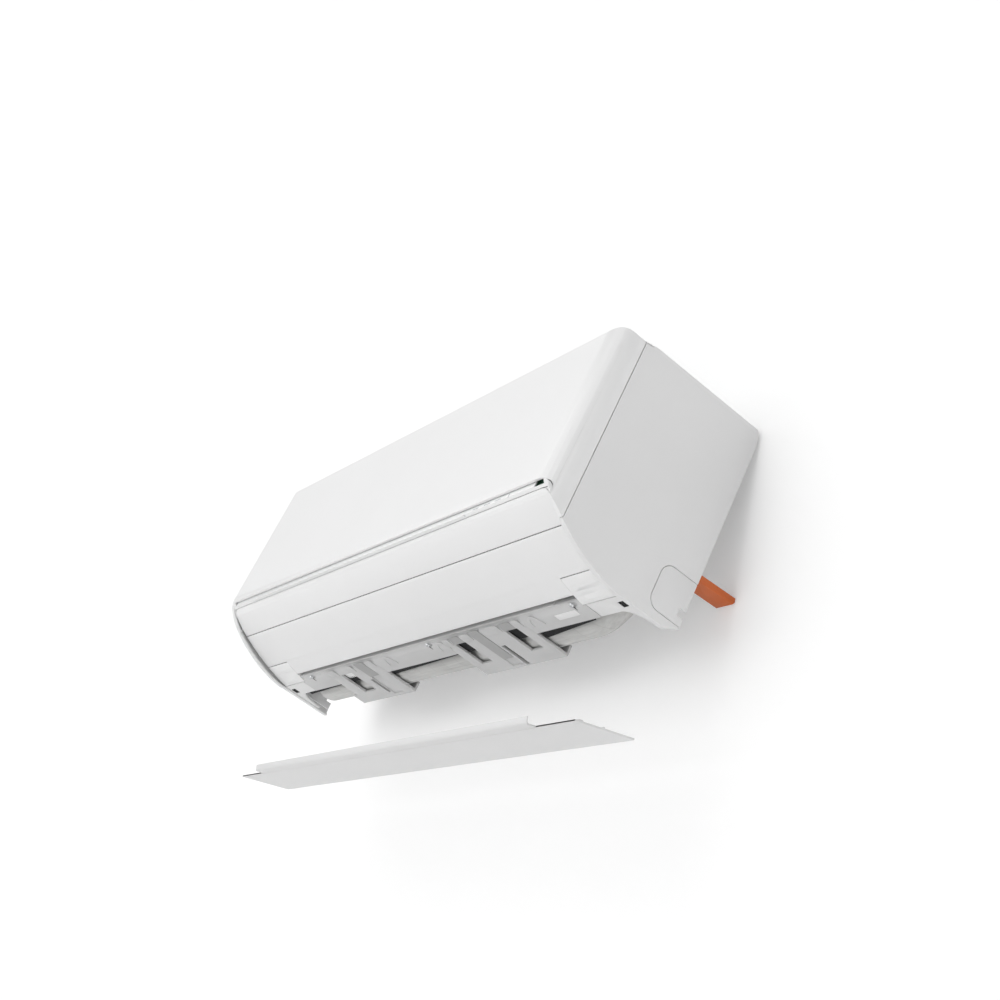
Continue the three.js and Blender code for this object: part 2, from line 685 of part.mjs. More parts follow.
function upperFlapOutline(margin) {
  const shape = new THREE.Shape();
  const side = FLAP_HALF + margin;
  const top = flapCurve.getPoint(curveAt(flapCurve, STRIP_FOOT)).y - SEAM / 2 + margin;
  const corner = FLAP_CORNER + margin;
  shape.moveTo(-side, FLOOR - 30);
  shape.lineTo(side, FLOOR - 30);
  shape.absarc(side - corner, top - corner, corner, 0, Math.PI / 2, false);
  shape.absarc(-side + corner, top - corner, corner, Math.PI / 2, Math.PI, false);
  return shape;
}

function displayStrip() {
  const ear = FLAP_AXIS_DEPTH + FLAP_PIN + BORE_PLAY + 1.5;
  const skin = alongX(skinOutline(STRIP_SETBACK, 20, SHELL, 8), -MOUTH + GAP, MOUTH - GAP);
  const brow = block(-MOUTH + MOUTH_CORNER, HALF - RIGHT_CORNER - SEAM, STRIP_SETBACK, STRIP_SETBACK + 1.4,
    MOUTH_TOP - 6, MOUTH_TOP + STRIP_BROW);
  const ears = [-1, 1].map((side) => {
    const edge = side * (MOUTH - GAP);
    const reach = side * (MOUTH - GAP - 7);
    return alongX(skinOutline(3, 18, ear, 8), Math.min(edge, reach), Math.max(edge, reach));
  });
  const tabTop = above(FRAME_FOOT + 6);
  const tabFoot = above(PANEL_FOOT - 9);
  const [tabFrom, tabTo] = [-HALF + STRIP_TAB_INSET[0], HALF - STRIP_TAB_INSET[1]];
  const tab = block(tabFrom, tabTo, FRAME_BACK + GAP, FRAME_BACK + GAP + 2, tabFoot, tabTop);
  const shelf = block(tabFrom, tabTo, 4, FRAME_BACK + GAP + 2, tabFoot, tabFoot + 2);
  const [y, z] = upperAxis;
  return union([skin, ...ears])
    .intersect(alongY(mouthOutline(GAP, MOUTH_TOP - SEAM), -9, 60))
    .subtract(alongY(upperFlapOutline(FLAP_SEAM), -9, 60))
    .add(brow)
    .add(tab)
    .add(shelf.intersect(alongX([[4, tabFoot - 9], [30, tabFoot - 9], [30, 0], [7, 0]], -HALF, HALF)))
    .subtract(rod(-MOUTH + 1, MOUTH - 1, y, z, FLAP_PIN + BORE_PLAY))
    .subtract(rod(-FLAP_HALF + 2, FLAP_HALF - 2, y, z, FLAP_AXIS_DEPTH + FLAP_SWEEP));
}

function upperFlap() {
  const [y, z] = upperAxis;
  const start = STRIP_FOOT + 0.3;
  const body = alongX(skinOutline(start, FLAP_SPLIT - SEAM / 2, FLAP_WALL, 10), -FLAP_HALF, FLAP_HALF)
    .intersect(alongY(upperFlapOutline(0), -9, 60));
  const pin = rod(-FLAP_HALF + 2, FLAP_HALF - 2, y, z, FLAP_PIN, 12);
  const trim = rod(-TRIM_HALF, TRIM_HALF, y, z, FLAP_AXIS_DEPTH, 12);
  return body.add(pin).add(trim);
}

function lowerFlap() {
  const [y, z] = lowerAxis;
  const outline = skinOutline(FLAP_SPLIT + SEAM / 2, FLAP_REAR, FLAP_WALL, 14);
  let body = alongX(outline, -FLAP_HALF, FLAP_HALF);
  for (const side of [-1, 1]) {
    const inner = side * (BLOCK_INNER - SEAM / 2);
    const outer = side * (HALF + 1);
    const cut = [Math.min(inner, outer), Math.max(inner, outer)];
    body = body.subtract(block(cut[0], cut[1], BLOCK_FRONT - SEAM / 2, DEPTH, FLOOR - 9, FLOOR + 60));
  }
  const reach = BLOCK_INNER + 6;
  return body.add(rod(-reach, reach, y, z, FLAP_PIN, 12));
}

/** Corner block: the patch that shows beside the flap's rear edge and the shelf that carries it. */
function endBlock(side) {
  const [y, z] = lowerAxis;
  const bulkhead = side < 0 ? LEFT_BULKHEAD : RIGHT_BULKHEAD;
  const span = (near, far) => (side < 0 ? [-far, -near] : [near, far]);
  const [p0, p1] = span(BLOCK_INNER, FLAP_HALF);
  const patch = alongX(skinOutline(BLOCK_FRONT + SEAM / 2, BLOCK_REAR, 3, 6), p0, p1);
  const [s0, s1] = span(bulkhead + GAP, FLAP_HALF);
  const shelf = block(s0, s1, 100, 131, above(26), above(29));
  const [w0, w1] = span(Math.max(bulkhead + GAP, HALF - BLOCK_WEB[0]), HALF - BLOCK_WEB[1]);
  const web = alongX([...curveLine(flapCurve, 108, 131, 2, 4), [131, above(27)], [108, above(27)]], w0, w1);
  const [c0, c1] = span(BLOCK_INNER, HALF - BLOCK_WEB[1]);
  const cheek = alongX(skinOutline(108, BLOCK_REAR - 2, 6, 5), c0, c1);
  return union([patch, shelf, web, cheek]).subtract(rod(-HALF, HALF, y, z, FLAP_PIN + BORE_PLAY));
}

function stepMotor(x0, x1, y, z, shaftTo) {
  const can = rod(x0, x1, y, z, 12, 20);
  const shaft = shaftTo < x0 ? rod(shaftTo, x0 + 1, y, z, 2.5, 10) : rod(x1 - 1, shaftTo, y, z, 2.5, 10);
  const lug = block(x0, x0 + 1.5, y - 17, y + 17, z - 3.5, z + 3.5);
  return can.add(shaft).add(lug);
}

// ---- Chassis -------------------------------------------------------------------------------------

/** Inner line of the scroll guide behind the fan, from the gutter down to the lip. */
function guideLine() {
  const line = [];
  const start = THREE.MathUtils.degToRad(35);
  const end = THREE.MathUtils.degToRad(-78);
  const steps = 9;
  for (let i = 0; i <= steps; i += 1) {
    const angle = start + ((end - start) * i) / steps;
    const swept = Math.max(0, -angle);
    const radius = FAN_RADIUS + SCROLL_PLAY + SCROLL_GROWTH * swept;
    line.push([FAN_Y + radius * Math.cos(angle), FAN_Z + radius * Math.sin(angle)]);
  }
  line.push([GUIDE_FACE, above(GUIDE_FOOT + 26)], [GUIDE_FACE, above(GUIDE_FOOT)]);
  return line;
}

function bulkheadOutline() {
  const chin = curveLine(flapCurve, 16, 104, FLAP_WALL + 3, 8);
  return [
    [FRAME_BACK + GAP, -CHASSIS_TOP], [FRAME_BACK + GAP, above(FRAME_FOOT)], ...chin,
    [GUIDE_FACE - 1, above(GUIDE_FOOT)], [GUIDE_FACE + GUIDE_WALL, above(GUIDE_FOOT)],
    [GUIDE_FACE + GUIDE_WALL, DECK - 20], [148, DECK - 3], [BACK, DECK - 3], [BACK, -CHASSIS_TOP],
  ];
}

function chassisFrame() {
  const guide = guideLine();
  const parts = [];
  parts.push(alongX(bulkheadOutline(), -LEFT_BULKHEAD, DUCT_LEFT));
  parts.push(alongX(bulkheadOutline(), DUCT_RIGHT, RIGHT_BULKHEAD));
  parts.push(block(-LEFT_BULKHEAD, RIGHT_BULKHEAD, BACK - BACK_WALL, BACK, DECK - 3, -SHELL - GAP));
  parts.push(block(-LEFT_BULKHEAD, RIGHT_BULKHEAD - 6, 146, BACK, DECK - 3, DECK));
  parts.push(alongX(stripOutline(guide, GUIDE_WALL), DUCT_LEFT - 1, DUCT_RIGHT + 1));
  const [gy, gz] = guide[0];
  parts.push(block(DUCT_LEFT - 1, DUCT_RIGHT + 1, gy + 3, BACK, -GUTTER_DEPTH - 3, -GUTTER_DEPTH));
  parts.push(alongX([[gy, gz], [gy + 3, gz - 2], [gy + 8, -GUTTER_DEPTH - 1], [gy + 6, -106],
    [gy + 3, -106]], DUCT_LEFT - 1, DUCT_RIGHT + 1));
  const [railY, railZ] = RAIL;
  const ends = HOOKS[HOOKS.length - 1] + HOOK_WIDTH / 2 + 10;
  parts.push(block(-ends, ends, PIVOT_Y - railY / 2, PIVOT_Y + railY / 2,
    PIVOT_Z - railZ / 2, PIVOT_Z + railZ / 2));
  for (let i = 0; i <= HOOKS.length; i += 1) {
    const left = i === 0 ? -ends : HOOKS[i - 1] + HOOK_WIDTH / 2 + 4;
    const right = i === HOOKS.length ? ends : HOOKS[i] - HOOK_WIDTH / 2 - 4;
    parts.push(block(left, right, BACK - 1, PIVOT_Y, PIVOT_Z - railZ / 2, PIVOT_Z + railZ / 2));
  }
  let frame = union(parts)
    .subtract(rod(-HALF, HALF, FAN_Y, FAN_Z, SHAFT_RADIUS + 5))
    .subtract(block(DUCT_RIGHT - 2, HALF, 0, BOARD_NOTCH, above(FRAME_FOOT) - 9, above(WINDOW_FOOT)));
  for (const x of vanePlaces()) {
    frame = frame.subtract(rodY(GUIDE_FACE - 3, GUIDE_FACE + GUIDE_WALL + 3, x, above(VANE_PIVOT),
      SHAFT_RADIUS / 2 + BORE_PLAY, 8));
  }
  const motorZ = above(VANE_PIVOT - LINK_ARM);
  return frame.subtract(rod(-HALF, HALF, VANE_FRONT + 10, motorZ, 3.5));
}

function drainPan() {
  const left = DUCT_LEFT + GAP;
  const right = DUCT_RIGHT - GAP;
  const foot = PAN_TOP - PAN_DEPTH;
  const outline = [
    [PAN_FRONT, PAN_TOP], [PAN_FRONT, foot], [PAN_REAR - 4, foot],
    PAN_LIP, [PAN_LIP[0] + SHELL, PAN_LIP[1]], [PAN_REAR + 2, foot],
    [PAN_REAR + 1, PAN_TOP - 2], [PAN_REAR - 2, PAN_TOP - 2],
    [PAN_REAR - 2, foot + SHELL], [PAN_FRONT + SHELL, foot + SHELL], [PAN_FRONT + SHELL, PAN_TOP],
  ];
  const pan = alongX(outline, left, right);
  const middle = (PAN_FRONT + PAN_REAR) / 2;
  const endWalls = [left, right - SHELL].map((x) => (
    block(x, x + SHELL, PAN_FRONT, PAN_REAR - 1, foot, PAN_TOP - 2)));
  const saddles = [-200, 0, 200].map((x) => (
    block(x - 2, x + 2, middle - 8, middle + 4, foot + 1, FRONT_COIL[0][1] - GAP)));
  const rests = [left, 200].map((x) => (
    block(x, x + 14, FRAME_BACK + 2 * GAP, PAN_FRONT + 1, foot, foot + SHELL)));
  return union([pan, ...endWalls, ...saddles, ...rests]);
}

// ---- Fan -----------------------------------------------------------------------------------------

function fanRotor() {
  const left = DUCT_LEFT + FAN_END_PLAY;
  const right = DUCT_RIGHT - FAN_END_PLAY;
  const parts = [];
  for (let i = 0; i < FAN_RINGS; i += 1) {
    const x = left + ((right - left - FAN_RING) * i) / (FAN_RINGS - 1);
    parts.push(rod(x, x + FAN_RING, FAN_Y, FAN_Z, FAN_RADIUS, 24));
  }
  const middle = FAN_RADIUS - BLADE_CHORD / 2 - 1;
  for (let i = 0; i < FAN_BLADES; i += 1) {
    const angle = (2 * Math.PI * i) / FAN_BLADES;
    const blade = new THREE.BoxGeometry(right - left, BLADE_CHORD, BLADE_WALL);
    blade.rotateX(THREE.MathUtils.degToRad(28));
    blade.translate(0, middle, 0);
    blade.rotateX(angle);
    blade.translate((left + right) / 2, FAN_Y, FAN_Z);
    parts.push(solid(blade));
  }
  parts.push(rod(left, left + 14, FAN_Y, FAN_Z, SHAFT_RADIUS + 5));
  parts.push(rod(right - 14, right, FAN_Y, FAN_Z, SHAFT_RADIUS + 5));
  return union(parts).subtract(rod(left - 1, right + 1, FAN_Y, FAN_Z, SHAFT_RADIUS + GAP));
}

function fanShaft() {
  const left = -LEFT_BULKHEAD - BEARING_LENGTH - 4;
  return rod(left, RIGHT_BULKHEAD + MOTOR_OFFSET - GAP, FAN_Y, FAN_Z, SHAFT_RADIUS);
}

function fanBearing() {
  const face = -LEFT_BULKHEAD - GAP;
  const housing = rod(face - BEARING_LENGTH, face, FAN_Y, FAN_Z, BEARING_RADIUS, 24);
  const feet = block(face - 3, face, FAN_Y - 24, FAN_Y + 24, FAN_Z - 5, FAN_Z + 5);
  return housing.add(feet).subtract(rod(face - 20, face + 1, FAN_Y, FAN_Z, SHAFT_RADIUS + GAP));
}

function fanMotor() {
  const face = RIGHT_BULKHEAD + MOTOR_OFFSET;
  const can = rod(face + 6, face + MOTOR_LENGTH - 6, FAN_Y, FAN_Z, MOTOR_RADIUS, 32);
  const shoulder = rod(face + 2, face + MOTOR_LENGTH - 2, FAN_Y, FAN_Z, MOTOR_RADIUS - 4, 32);
  const hub = rod(face, face + MOTOR_LENGTH, FAN_Y, FAN_Z, 12, 20);
  return union([can, shoulder, hub]);
}

function motorClamp() {
  const from = RIGHT_BULKHEAD + MOTOR_OFFSET + 10;
  const to = from + CLAMP_WIDTH;
  const outer = MOTOR_RADIUS + GAP + CLAMP_WALL;
  const band = rod(from, to, FAN_Y, FAN_Z, outer, 32);
  const feet = [-1, 1].map((side) => {
    const y = FAN_Y + side * (outer + 3);
    return block(RIGHT_BULKHEAD + GAP, to, y - 4, y + 4, FAN_Z - 7, FAN_Z + 7);
  });
  return union([band, ...feet]).subtract(rod(from - 20, to + 1, FAN_Y, FAN_Z, MOTOR_RADIUS + GAP, 32));
}

// ---- Heat exchanger --------------------------------------------------------------------------------

function slabOutline(line, thickness) {
  const [a, b] = line.map(([y, z]) => new THREE.Vector2(y, z));
  const run = b.clone().sub(a).normalize();
  const side = new THREE.Vector2(-run.y, run.x).multiplyScalar(thickness / 2);
  return [a.clone().sub(side), b.clone().sub(side), b.clone().add(side), a.clone().add(side)]
    .map((p) => [p.x, p.y]);
}

const COIL_LEFT = DUCT_LEFT + COIL_END_PLAY;
const COIL_RIGHT = DUCT_RIGHT - COIL_END_PLAY;

function coilSlab(line) {
  return alongX(slabOutline(line, COIL_THICKNESS), COIL_LEFT, COIL_RIGHT);
}

/** Centres of the return bends on a slab, with the direction of the slab there. */
function bendPlaces(line) {
  const [a, b] = line.map(([y, z]) => new THREE.Vector2(y, z));
  const run = b.clone().sub(a);
  const count = Math.floor(run.length() / (3.4 * BEND_RADIUS));
  const places = [];
  for (let i = 0; i < count; i += 1) {
    places.push({ at: a.clone().addScaledVector(run, (i + 0.5) / count), run: run.clone().normalize() });
  }
  return places;
}

function returnBend(place, face, side) {
  const across = new THREE.Vector3(0, place.run.x, place.run.y).multiplyScalar(BEND_RADIUS);
  const out = new THREE.Vector3(side, 0, 0);
  const centre = new THREE.Vector3(face, place.at.x, place.at.y);
  const start = centre.clone().sub(across);
  const end = centre.clone().add(across);
  const lift = out.clone().multiplyScalar(1.4 * BEND_REACH);
  const bend = new THREE.CubicBezierCurve3(start, start.clone().add(lift), end.clone().add(lift), end);
  return tube([start.clone().sub(out), ...bend.getPoints(5), end.clone().sub(out)], TUBE_RADIUS, 6);
}

/** Sheet that ties the three slabs together at one end, with the return bends standing on it. */
function coilPlate(side) {
  const face = side < 0 ? COIL_LEFT - GAP : COIL_RIGHT + GAP;
  const [from, to] = side < 0 ? [face - COIL_PLATE, face] : [face, face + COIL_PLATE];
  const lines = [FRONT_COIL, UPPER_COIL, REAR_COIL];
  const parts = lines.map((line) => alongX(slabOutline(line, COIL_THICKNESS), from, to));
  const ties = [
    [FRONT_COIL[1], UPPER_COIL[0]],
    [UPPER_COIL[1], REAR_COIL[0]],
  ].map((tie) => alongX(slabOutline(tie, COIL_THICKNESS - 8), from, to));
  parts.push(...ties);
  const outer = side < 0 ? from : to;
  for (const line of lines) {
    for (const place of bendPlaces(line)) parts.push(returnBend(place, outer, side));
  }
  const rest = side < 0 ? [DUCT_LEFT + GAP, to] : [from, DUCT_RIGHT - GAP];
  const [y, z] = FRONT_COIL[0];
  parts.push(block(rest[0], rest[1], y - COIL_THICKNESS / 2, y - COIL_THICKNESS / 2 + 2, z + 8, z + 60));
  return union(parts);
}

// ---- Air vanes -------------------------------------------------------------------------------------

function vanePlaces() {
  const count = 2 * VANES_PER_BANK;
  const pitch = (DUCT_RIGHT - DUCT_LEFT) / count;
  return Array.from({ length: count }, (_, i) => DUCT_LEFT + pitch * (i + 0.5));
}

function vane(x) {
  const rear = GUIDE_FACE - 3;
  const axis = above(VANE_PIVOT);
  const outline = [
    [VANE_FRONT, above(VANE_FOOT)], [92, above(VANE_FOOT - 6)], [rear, above(VANE_HEEL)],
    [rear, above(VANE_TOP)], [VANE_FRONT, above(VANE_TOP)], [VANE_FRONT, axis - 3],
    [VANE_FRONT + NOTCH_DEPTH, axis - 3], [VANE_FRONT + NOTCH_DEPTH, axis - LINK_ARM - 5],
    [VANE_FRONT, axis - LINK_ARM - 5],
  ];
  const blade = alongX(outline, x - VANE_WALL / 2, x + VANE_WALL / 2);
  return blade.add(rodY(rear - 4, GUIDE_FACE + GUIDE_WALL - 0.4, x, axis, SHAFT_RADIUS / 2, 12));
}

function vaneLink(places) {
  const rear = VANE_FRONT + NOTCH_DEPTH - GAP;
  const middle = above(VANE_PIVOT - LINK_ARM);
  const [first, last] = [places[0], places[places.length - 1]];
  return block(first - 12, last + 12, rear - LINK_SIZE, rear,
    middle - LINK_SIZE / 2, middle + LINK_SIZE / 2);
}

// ---- Intake ----------------------------------------------------------------------------------------

/** Flat plate with rows and columns of equal square-cornered openings between its rims and bars. */
function gridPlate(size, rim, bar, columns, rows) {
  const [x0, x1, y0, y1, z0, z1] = size;
  let plate = block(...size);
  const width = (x1 - x0 - 2 * rim - (columns - 1) * bar) / columns;
  const depth = (y1 - y0 - 2 * rim - (rows - 1) * bar) / rows;
  for (let column = 0; column < columns; column += 1) {
    for (let row = 0; row < rows; row += 1) {
      const x = x0 + rim + column * (width + bar);
      const y = y0 + rim + row * (depth + bar);
      plate = plate.subtract(block(x, x + width, y, y + depth, z0 - 1, z1 + 1));
    }
  }
  return plate;
}

function intakeGrille() {
  const foot = -CHASSIS_TOP + GAP;
  const size = [
    -INTAKE_LEFT + GAP, INTAKE_RIGHT - GAP, INTAKE_FRONT + GAP, INTAKE_REAR - GAP, foot, foot + GRILLE_DEPTH,
  ];
  return gridPlate(size, GRILLE_RIM, BAR, GRILLE_COLUMNS, GRILLE_ROWS);
}

function filterTray(index) {
  const middle = (INTAKE_RIGHT - INTAKE_LEFT) / 2;
  const x0 = index === 0 ? -INTAKE_LEFT + GAP : middle + GAP;
  const x1 = index === 0 ? middle - GAP : INTAKE_RIGHT - GAP;
  const [y0, y1] = [INTAKE_FRONT + GAP, INTAKE_REAR - GAP];
  const z0 = -CHASSIS_TOP + 2 * GAP + GRILLE_DEPTH;
  const z1 = z0 + FILTER_DEPTH;
  const tray = gridPlate([x0, x1, y0, y1, z0, z1], FILTER_RIM, BAR, FILTER_COLUMNS, FILTER_ROWS);
  const net = block(x0 + 1, x1 - 1, y0 + 1, y1 - 1, z0 + 1, z0 + 1 + FILTER_NET);
  const middleX = (x0 + x1) / 2;
  const grip = block(middleX - 18, middleX + 18, y0 + 1, y0 + 14, z1 - 1.6, z1 - 0.1);
  return union([tray, net, grip]);
}

// ---- Underside -------------------------------------------------------------------------------------

/** Section of the lip and of the brackets' front: a sloping chin and a flat plate. */
function lipSection(rear) {
  const face = above(LIP_FACE);
  const top = above(LIP_FACE + LIP_WALL);
  return [
    [LIP_FRONT, top + 3.3], [LIP_FRONT, face + 4.1], [LIP_FRONT + 9, face], [rear, face],
    [rear, top], [LIP_FRONT + 10, top], [LIP_FRONT + 4, top + 3.3],
  ];
}

function outletLip() {
  const top = above(LIP_FACE + LIP_WALL);
  let lip = alongX(lipSection(LIP_REAR), -LIP_HALF, LIP_HALF);
  for (const [x0, x1] of [[-HALF, -BLOCK_INNER + 2 * GAP], [BLOCK_INNER - 2 * GAP, HALF]]) {
    lip = lip.subtract(block(x0, x1, 0, BLOCK_REAR + SEAM, FLOOR, DECK));
  }
  for (const bracket of Object.values(BRACKETS)) {
    const cut = block(bracket.from - GAP, bracket.to + GAP, 0, DEPTH, FLOOR, top + 0.01);
    lip = lip.subtract(cut);
  }
  for (const x of Object.values(LIP_SCREWS)) {
    lip = lip.subtract(block(x - 7, x + 7, LIP_FRONT - 1, LIP_FRONT + 7, FLOOR - 9, top + 0.01));
  }
  const back = GUIDE_FACE + GUIDE_WALL + GAP;
  const half = BLOCK_INNER - 2 * GAP;
  lip = lip.add(block(-half, half, LIP_FRONT, back + 2.5, top + 0.01, above(GUIDE_FOOT)));
  const upright = block(-half, RIGHT_BULKHEAD, back, back + 2.5, top + 0.01, above(GUIDE_FOOT + 18));
  lip = lip.add(upright);
  for (const x of [-302, -233, -110, 33, 262]) {
    lip = lip.subtract(block(x - 4, x + 4, LIP_FRONT - 1, LIP_FRONT + 4, FLOOR, top - 0.4));
  }
  return lip;
}

/** Bracket arm that carries the pipes, with its slots and its sunk channel. */
function pipeBracket(bracket) {
  const top = BRACKET_TOP;
  const rear = [
    [BRACKET_REAR, above(LIP_FACE)], [BRACKET_REAR, top + 11], [BRACKET_REAR - BRACKET_TURN, top + 11],
    [BRACKET_REAR - BRACKET_TURN, top],
  ];
  const chin = [[LIP_FRONT + 5, top - GAP], [LIP_FRONT + 1.7, top - GAP], [LIP_FRONT + 9, above(LIP_FACE)]];
  let arm = alongX([...chin, ...rear], bracket.from, bracket.to);
  if (bracket.toe > 0) {
    const toe = block(bracket.from - bracket.toe, bracket.from + 1, 186, BRACKET_REAR, above(LIP_FACE), top);
    arm = arm.add(toe);
  }
  for (const [x0, x1, y0, y1] of bracket.slots) {
    arm = arm.subtract(block(x0, x1, y0, y1, FLOOR, top + 1));
  }
  if (bracket.channel) {
    const [x0, x1] = bracket.channel;
    arm = arm.subtract(block(x0, x1, LIP_FRONT, BRACKET_REAR - BRACKET_TURN - 2, FLOOR, top - 1.6));
  }
  return arm;
}

function lipScrew(x) {
  const z = above(LIP_FACE + LIP_WALL);
  const head = new THREE.SphereGeometry(SCREW_RADIUS, 14, 8, 0, 2 * Math.PI, 0, Math.PI);
  head.scale(1, 1, 0.7);
  head.translate(x, LIP_FRONT + 3, z - GAP - 0.7 * SCREW_RADIUS);
  return solid(head);
}

function pipeBundle() {
  const corner = BUNDLE_RISER - BUNDLE_BEND;
  const point = (x, z) => new THREE.Vector3(x, BUNDLE_Y, z);
  const steps = 8;
  const path = [point(-BUNDLE_LEFT, BUNDLE_Z)];
  for (let i = 0; i <= steps; i += 1) {
    const angle = (Math.PI / 2) * (i / steps);
    path.push(point(corner + BUNDLE_BEND * Math.sin(angle), BUNDLE_Z + BUNDLE_BEND * (1 - Math.cos(angle))));
  }
  path.push(point(BUNDLE_RISER, above(BUNDLE_TOP)));
  return tube(path, BUNDLE_RADIUS, 20);
}

/** Copper pipe from the riser's top over to the coil's right end. */
function copperPipe(offset, radius, height) {
  const start = new THREE.Vector3(BUNDLE_RISER + offset, BUNDLE_Y, above(BUNDLE_TOP) + GAP);
  const corner = new THREE.Vector3(BUNDLE_RISER + offset, BUNDLE_Y, height);
  const inner = new THREE.Vector3(RIGHT_BULKHEAD + GAP, BUNDLE_Y, height);
  return tube(bentPath(start, corner, inner, 22, 6), radius, 10);
}

function drainHose() {
  const z = PAN_TOP - PAN_DEPTH - 22;
  const start = new THREE.Vector3(RIGHT_BULKHEAD + GAP, PAN_FRONT + 26, z);
  const corner = new THREE.Vector3(BUNDLE_RISER + HOSE_OFFSET, PAN_FRONT + 26, z);
  const end = new THREE.Vector3(BUNDLE_RISER + HOSE_OFFSET, BUNDLE_Y - BUNDLE_RADIUS - 3, z);
  return tube(bentPath(start, corner, end, 26, 6), 8, 12);
}

// ---- Electrics -------------------------------------------------------------------------------------

const BOX = { x0: HALF - 57, x1: HALF - 11, y0: 44, y1: 148, z0: -186, z1: -24, wall: 1.2 };

function controlBox() {
  const { x0, x1, y0, y1, z0, z1, wall } = BOX;
  const shell = block(x0, x1, y0, y1, z0, z1)
    .subtract(block(x0 + wall, x1 - wall, y0 - 1, y1 - wall, z0 + wall, z1 - wall));
  const arm = block(RIGHT_BULKHEAD + GAP, x0 + 1, y0 + 20, y0 + 60, z1 - 8, z1 - 5);
  const foot = block(RIGHT_BULKHEAD + GAP, RIGHT_BULKHEAD + GAP + 2, y0 + 20, y0 + 60, z1 - 24, z1 - 5);
  return union([shell, arm, foot]);
}

function controlBoard() {
  const { x0, y0, y1, z0, z1, wall } = BOX;
  const face = x0 + wall + GAP;
  const board = block(face, face + BOARD_WALL, y0 + 4, y1 - 4, z0 + 6, z1 - 6);
  const parts = [board];
  const boards = face + BOARD_WALL - 0.5;
  parts.push(block(boards, boards + 24, y0 + 12, y0 + 40, z0 + 14, z0 + 46));
  parts.push(block(boards, boards + 14, y0 + 60, y0 + 76, z0 + 16, z0 + 40));
  parts.push(rod(boards, boards + 26, y0 + 66, z0 + 70, 9, 16));
  parts.push(rod(boards, boards + 18, y0 + 40, z0 + 78, 6, 14));
  parts.push(block(boards, boards + 9, y0 + 14, y0 + 30, z0 + 90, z0 + 128));
  parts.push(block(boards, boards + 3, y0 + 48, y0 + 72, z0 + 100, z0 + 124));
  return union(parts);
}

function controlCover() {
  const { x0, x1, y0, z0, z1 } = BOX;
  const lid = block(x0 - 1, x1 + 1, y0 - GAP - 1.2, y0 - GAP, z0 - 1, z1 + 1);
  const slots = [0, 1, 2, 3].map((i) => (
    block(x0 + 8, x1 - 8, y0 - 9, y0 + 9, z1 - 20 - 8 * i, z1 - 17 - 8 * i)));
  return slots.reduce((plate, slot) => plate.subtract(slot), lid);
}

function terminalBlock() {
  const { x0, x1, y0, z0 } = BOX;
  const rear = y0 - 2 * GAP - 1.2;
  let body = block(x0 + 5, x1 - 5, rear - 13, rear, z0 + 6, z0 + 26);
  for (let i = 0; i < 4; i += 1) {
    const x = x0 + 8 + i * 8;
    body = body.subtract(block(x, x + 5.5, rear - 14, rear - 6, z0 + 9, z0 + 23));
  }
  return body;
}

// ---- Wall plate, stand and cover ---------------------------------------------------------------------

/** Pressed wall plate, in the unit's upright frame, with ribs, screw holes and three hooks. */
function mountingPlate() {
  const half = PLATE_WIDTH / 2;
  const face = DEPTH - PLATE_SHEET;
  let plate = block(-half, half, face, DEPTH, -PLATE_FOOT, -PLATE_TOP);
  for (const z of [-52, -134]) {
    const rib = [
      [face + 0.5, z - 12], [face - RIB_DEPTH, z - 7], [face - RIB_DEPTH, z + 7], [face + 0.5, z + 12],
    ];
    plate = plate.add(alongX(rib, -half + 30, half - 30));
  }
  for (const x of [-half + 14, half - 14]) {
    plate = plate.add(block(x - 8, x + 8, face - RIB_DEPTH, face + 0.5, -PLATE_FOOT + 20, -PLATE_TOP - 20));
  }
  for (const x of HOOKS) {
    const root = PIVOT_Z - Math.hypot(...RAIL) / 2 - GAP;
    const hook = [
      [DEPTH - 0.2, root - 6], [DEPTH - HOOK_REACH, root - 6], [DEPTH - HOOK_REACH, root + HOOK_RISE],
      [DEPTH - HOOK_REACH + 1.4, root + HOOK_RISE], [DEPTH - HOOK_REACH + 1.4, root],
      [DEPTH - 0.2, root],
    ];
    plate = plate.add(alongX(hook, x - HOOK_WIDTH / 2, x + HOOK_WIDTH / 2));
  }
  const outer = PLATE_WIDTH / 2 - HOLE_INSET;
  for (const x of [-outer, -HOLE_MIDDLE, HOLE_MIDDLE, outer]) {
    for (const z of [-30, -93, -156]) {
      plate = plate.subtract(rodY(face - 9, DEPTH + 9, x, z, 3, 8));
    }
  }
  return plate;
}

const STAND_X1 = HALF - STAND_INSET;
const STAND_X0 = STAND_X1 - STAND_WIDTH;
const STAND_Y = DEPTH - STAND_PIVOT_IN;
const STAND_Z = -STAND_DROP;
const STAND_TO_WALL = PIVOT_OUT + (PIVOT_Y - STAND_Y) * Math.cos(SWING_TILT)
  + (STAND_DROP - PIVOT_DROP) * Math.sin(SWING_TILT);
const STAND_LEAN = SWING_TILT - STAND_RISE;
const STAND_LENGTH = 1 + (STAND_TO_WALL - STAND_WALL_GAP - (STAND_THICK / 2) * Math.sin(STAND_LEAN))
  / Math.cos(STAND_LEAN);

